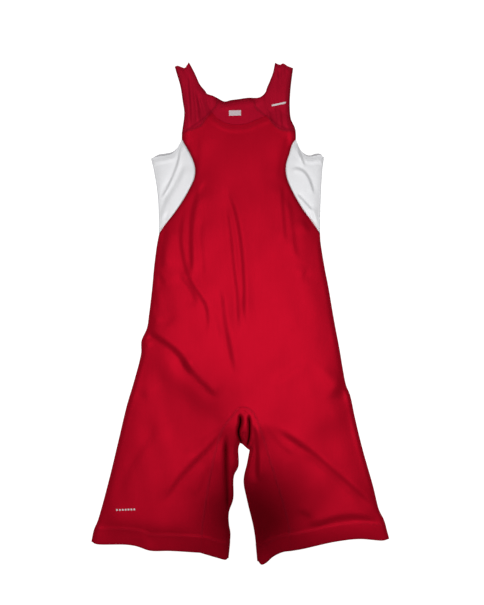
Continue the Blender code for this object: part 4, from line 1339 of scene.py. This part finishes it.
# %% Seams and hems
THREAD_RISE = 0.8
SINGLE_LIFT = CLOTH / 2 + THREAD * THREAD_RISE
DOUBLE_LIFT = CLOTH + THREAD * THREAD_RISE
EDGE_INSET = 7.0
SIDE_INSET = 3.2
RAGLAN = slice(0, RAGLAN_STEPS + 1)
NECK = slice(RAGLAN_STEPS, None)
ARMHOLE = slice(0, ARMHOLE_ROWS + 1)
PANEL = slice(ARMHOLE_ROWS, TIP_ROW - 1)
SIDE = slice(TIP_ROW + 1, None)
INNER_LEG = slice(CROTCH_ROW, None)
WHOLE = slice(None)
BODY_LINES = [("first row", 0, RAGLAN, LADDER), ("first column", 0, PANEL, LADDER),
              ("last column", 0, INNER_LEG, LADDER), ("first row", EDGE_INSET, NECK, TWIN),
              ("first column", EDGE_INSET, ARMHOLE, TWIN), ("last row", HEM_BAND, WHOLE, TWIN),
              ("first column", SIDE_INSET, SIDE, SINGLE_ROW)]
PANEL_LINES = [("first row", EDGE_INSET, WHOLE, TWIN)]
STRAP_LINES = [("first column", EDGE_INSET, WHOLE, TWIN), ("last column", EDGE_INSET, WHOLE, TWIN)]
SEWN_LINES = {
    "front": BODY_LINES + [("first column", 0, SIDE, ACROSS)],
    "back": BODY_LINES,
    "panel_right": PANEL_LINES,
    "panel_left": PANEL_LINES,
    "strap_right": STRAP_LINES,
    "strap_left": STRAP_LINES,
    "gusset": [("first row", HEM_BAND, WHOLE, TWIN), ("last row", HEM_BAND, WHOLE, TWIN)],
}


def sew_lines(key):
    """Makes all the stitching of one piece as one object."""
    made = []
    for rows in PATCHES[key]:
        for edge, inset, span, pattern in SEWN_LINES[key]:
            points, normals = line_on(rows, edge, inset, span)
            lift = DOUBLE_LIFT if pattern is TWIN else SINGLE_LIFT
            if key == "back":
                normals = normals * -np.sign(normals[len(normals) // 2][2])
            made.append(stitches(points, normals, pattern, lift))
            if key == "back" and edge == "first row":
                made.append(stitches(points, -normals, pattern, lift))
    copies = np.vstack(made)
    count = len(STITCH_POINTS)
    faces = [tuple(corner + number * count for corner in face)
             for number in range(len(copies)) for face in STITCH_FACES]
    mesh = bpy.data.meshes.new("stitching_of_" + PIECE_NAMES[key])
    mesh.from_pydata(copies.reshape(-1, 3).tolist(), [], faces)
    mesh.shade_smooth()
    mesh.materials.append(THREADS["white" if key.startswith("panel") else "red"])
    sewing = bpy.data.objects.new(mesh.name, mesh)
    scene.collection.objects.link(sewing)
    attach(sewing, "root")
    print(mesh.name, "stitches:", len(copies))
    return sewing


SEWING = {key: sew_lines(key) for key in PATCHES}

# %% [markdown]
# ## Sheets laid down
# Each cut piece is a sheet that was laid down by hand. Its flat size and the piece that it lies on are
# printed.

# %% Sheets laid down
for key, cut in CUTS.items():
    print(key, "is cut from", cut["flat"], "and lies on", cut["rests_on"] or "the floor")

# %% [markdown]
# ## Pressed film
# Such suits carry small marks of thin film that are pressed on with heat. The film is smoother than the
# knit, and after some wear the cloth shows through it in fine specks.

# %% Pressed film
FILM_SHINE = 0.5
SPECKS = 1800
WORN_SHARE = 0.7


def pressed_film(name, colour, roughness):
    """Pressed film: a smooth colour, slightly worn through in fine specks."""
    finish, shader = new_finish(name, roughness, FILM_SHINE)
    tree = finish.node_tree
    place = tree.nodes.new("ShaderNodeTexCoord")
    specks = tree.nodes.new("ShaderNodeTexNoise")
    specks.inputs["Scale"].default_value = SPECKS
    tree.links.new(place.outputs["Object"], specks.inputs["Vector"])
    speckled = colour_mix(tree, specks.outputs["Fac"], darkened(colour, WORN_SHARE), colour)
    tree.links.new(speckled, shader.inputs["Base Color"])
    return finish


pale_film = pressed_film("pale reflective film", (0.95, 0.86, 0.88, 1), 0.35)
grey_print = pressed_film("grey print", (0.88, 0.74, 0.78, 1), 0.6)
print("films:", pale_film.name, "and", grey_print.name)

# %% [markdown]
# ## Plain marks
# The marks are plain: a round-ended reflective bar on one strap, a row of small squares above one hem,
# and a blank pale block printed inside the back of the neck. Each starts as a small grid, the bar is
# rounded at its ends, and each is then laid on the cloth by looking straight down from every one of its
# points.

# %% Plain marks
FILM = 0.12
GRID_ROWS = 4
GRID_STEP = 1.2
END_NARROWING = 0.02
LOOK_DOWN_FROM = 0.1
SQUARES = 7
SQUARE_PITCH = 5.8
SQUARES_AT = (-228.5, -391)
SQUARES_SLOPE = 0.04


def laid_on(piece):
    """A search tree of a piece's faces."""
    return BVHTree.FromPolygons([vertex.co for vertex in piece.data.vertices],
                                [face.vertices for face in piece.data.polygons])


def pressed_mark(name, centre, size, turn, round_ends, key, finish):
    """A mark of this size in mm, turned by degrees, laid on a piece."""
    length, width = size
    columns = max(GRID_ROWS, int(length / GRID_STEP))
    bpy.ops.mesh.primitive_grid_add(x_subdivisions=columns, y_subdivisions=GRID_ROWS, size=1)
    mark = bpy.context.object
    mark.name = mark.data.name = name
    bpy.ops.object.mode_set(mode="EDIT")
    bpy.ops.transform.resize(value=(length * MM, width * MM, 1))
    shape = bmesh.from_edit_mesh(mark.data)
    for vertex in shape.verts:
        into_end = abs(vertex.co.x) / MM - (length - width) / 2
        if round_ends and into_end > 0:
            vertex.co.y *= math.sqrt(max(1 - (into_end / (width / 2)) ** 2, END_NARROWING))
    bpy.ops.object.mode_set(mode="OBJECT")
    surface = laid_on(PIECES[key])
    angle = math.radians(turn)
    for vertex in mark.data.vertices:
        x, y = vertex.co.x, vertex.co.y
        place = Vector((centre[0] * MM + x * math.cos(angle) - y * math.sin(angle),
                        centre[1] * MM + x * math.sin(angle) + y * math.cos(angle), LOOK_DOWN_FROM))
        hit = surface.ray_cast(place, Vector((0, 0, -1)))[0]
        vertex.co = hit + Vector((0, 0, FILM / 2 * MM))
    wall = mark.modifiers.new("film", "SOLIDIFY")
    wall.thickness = FILM * MM
    bpy.ops.object.modifier_apply(modifier=wall.name)
    mark.data.materials.append(finish)
    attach(mark, "root")
    return mark


pressed_mark("reflective_bar", (77, 418), (30, 3.6), 12, True, "strap_left", pale_film)
pressed_mark("blank_print", (-10.5, 400.5), (24, 10.5), 1, False, "back", grey_print)
for number in range(SQUARES):
    step = (number - (SQUARES - 1) / 2) * SQUARE_PITCH
    centre = (SQUARES_AT[0] + step, SQUARES_AT[1] + step * SQUARES_SLOPE)
    pressed_mark(f"square_mark_{number + 1}", centre, (3.4, 3.4), 2, False, "front", pale_film)
print("marks:", SQUARES + 2)
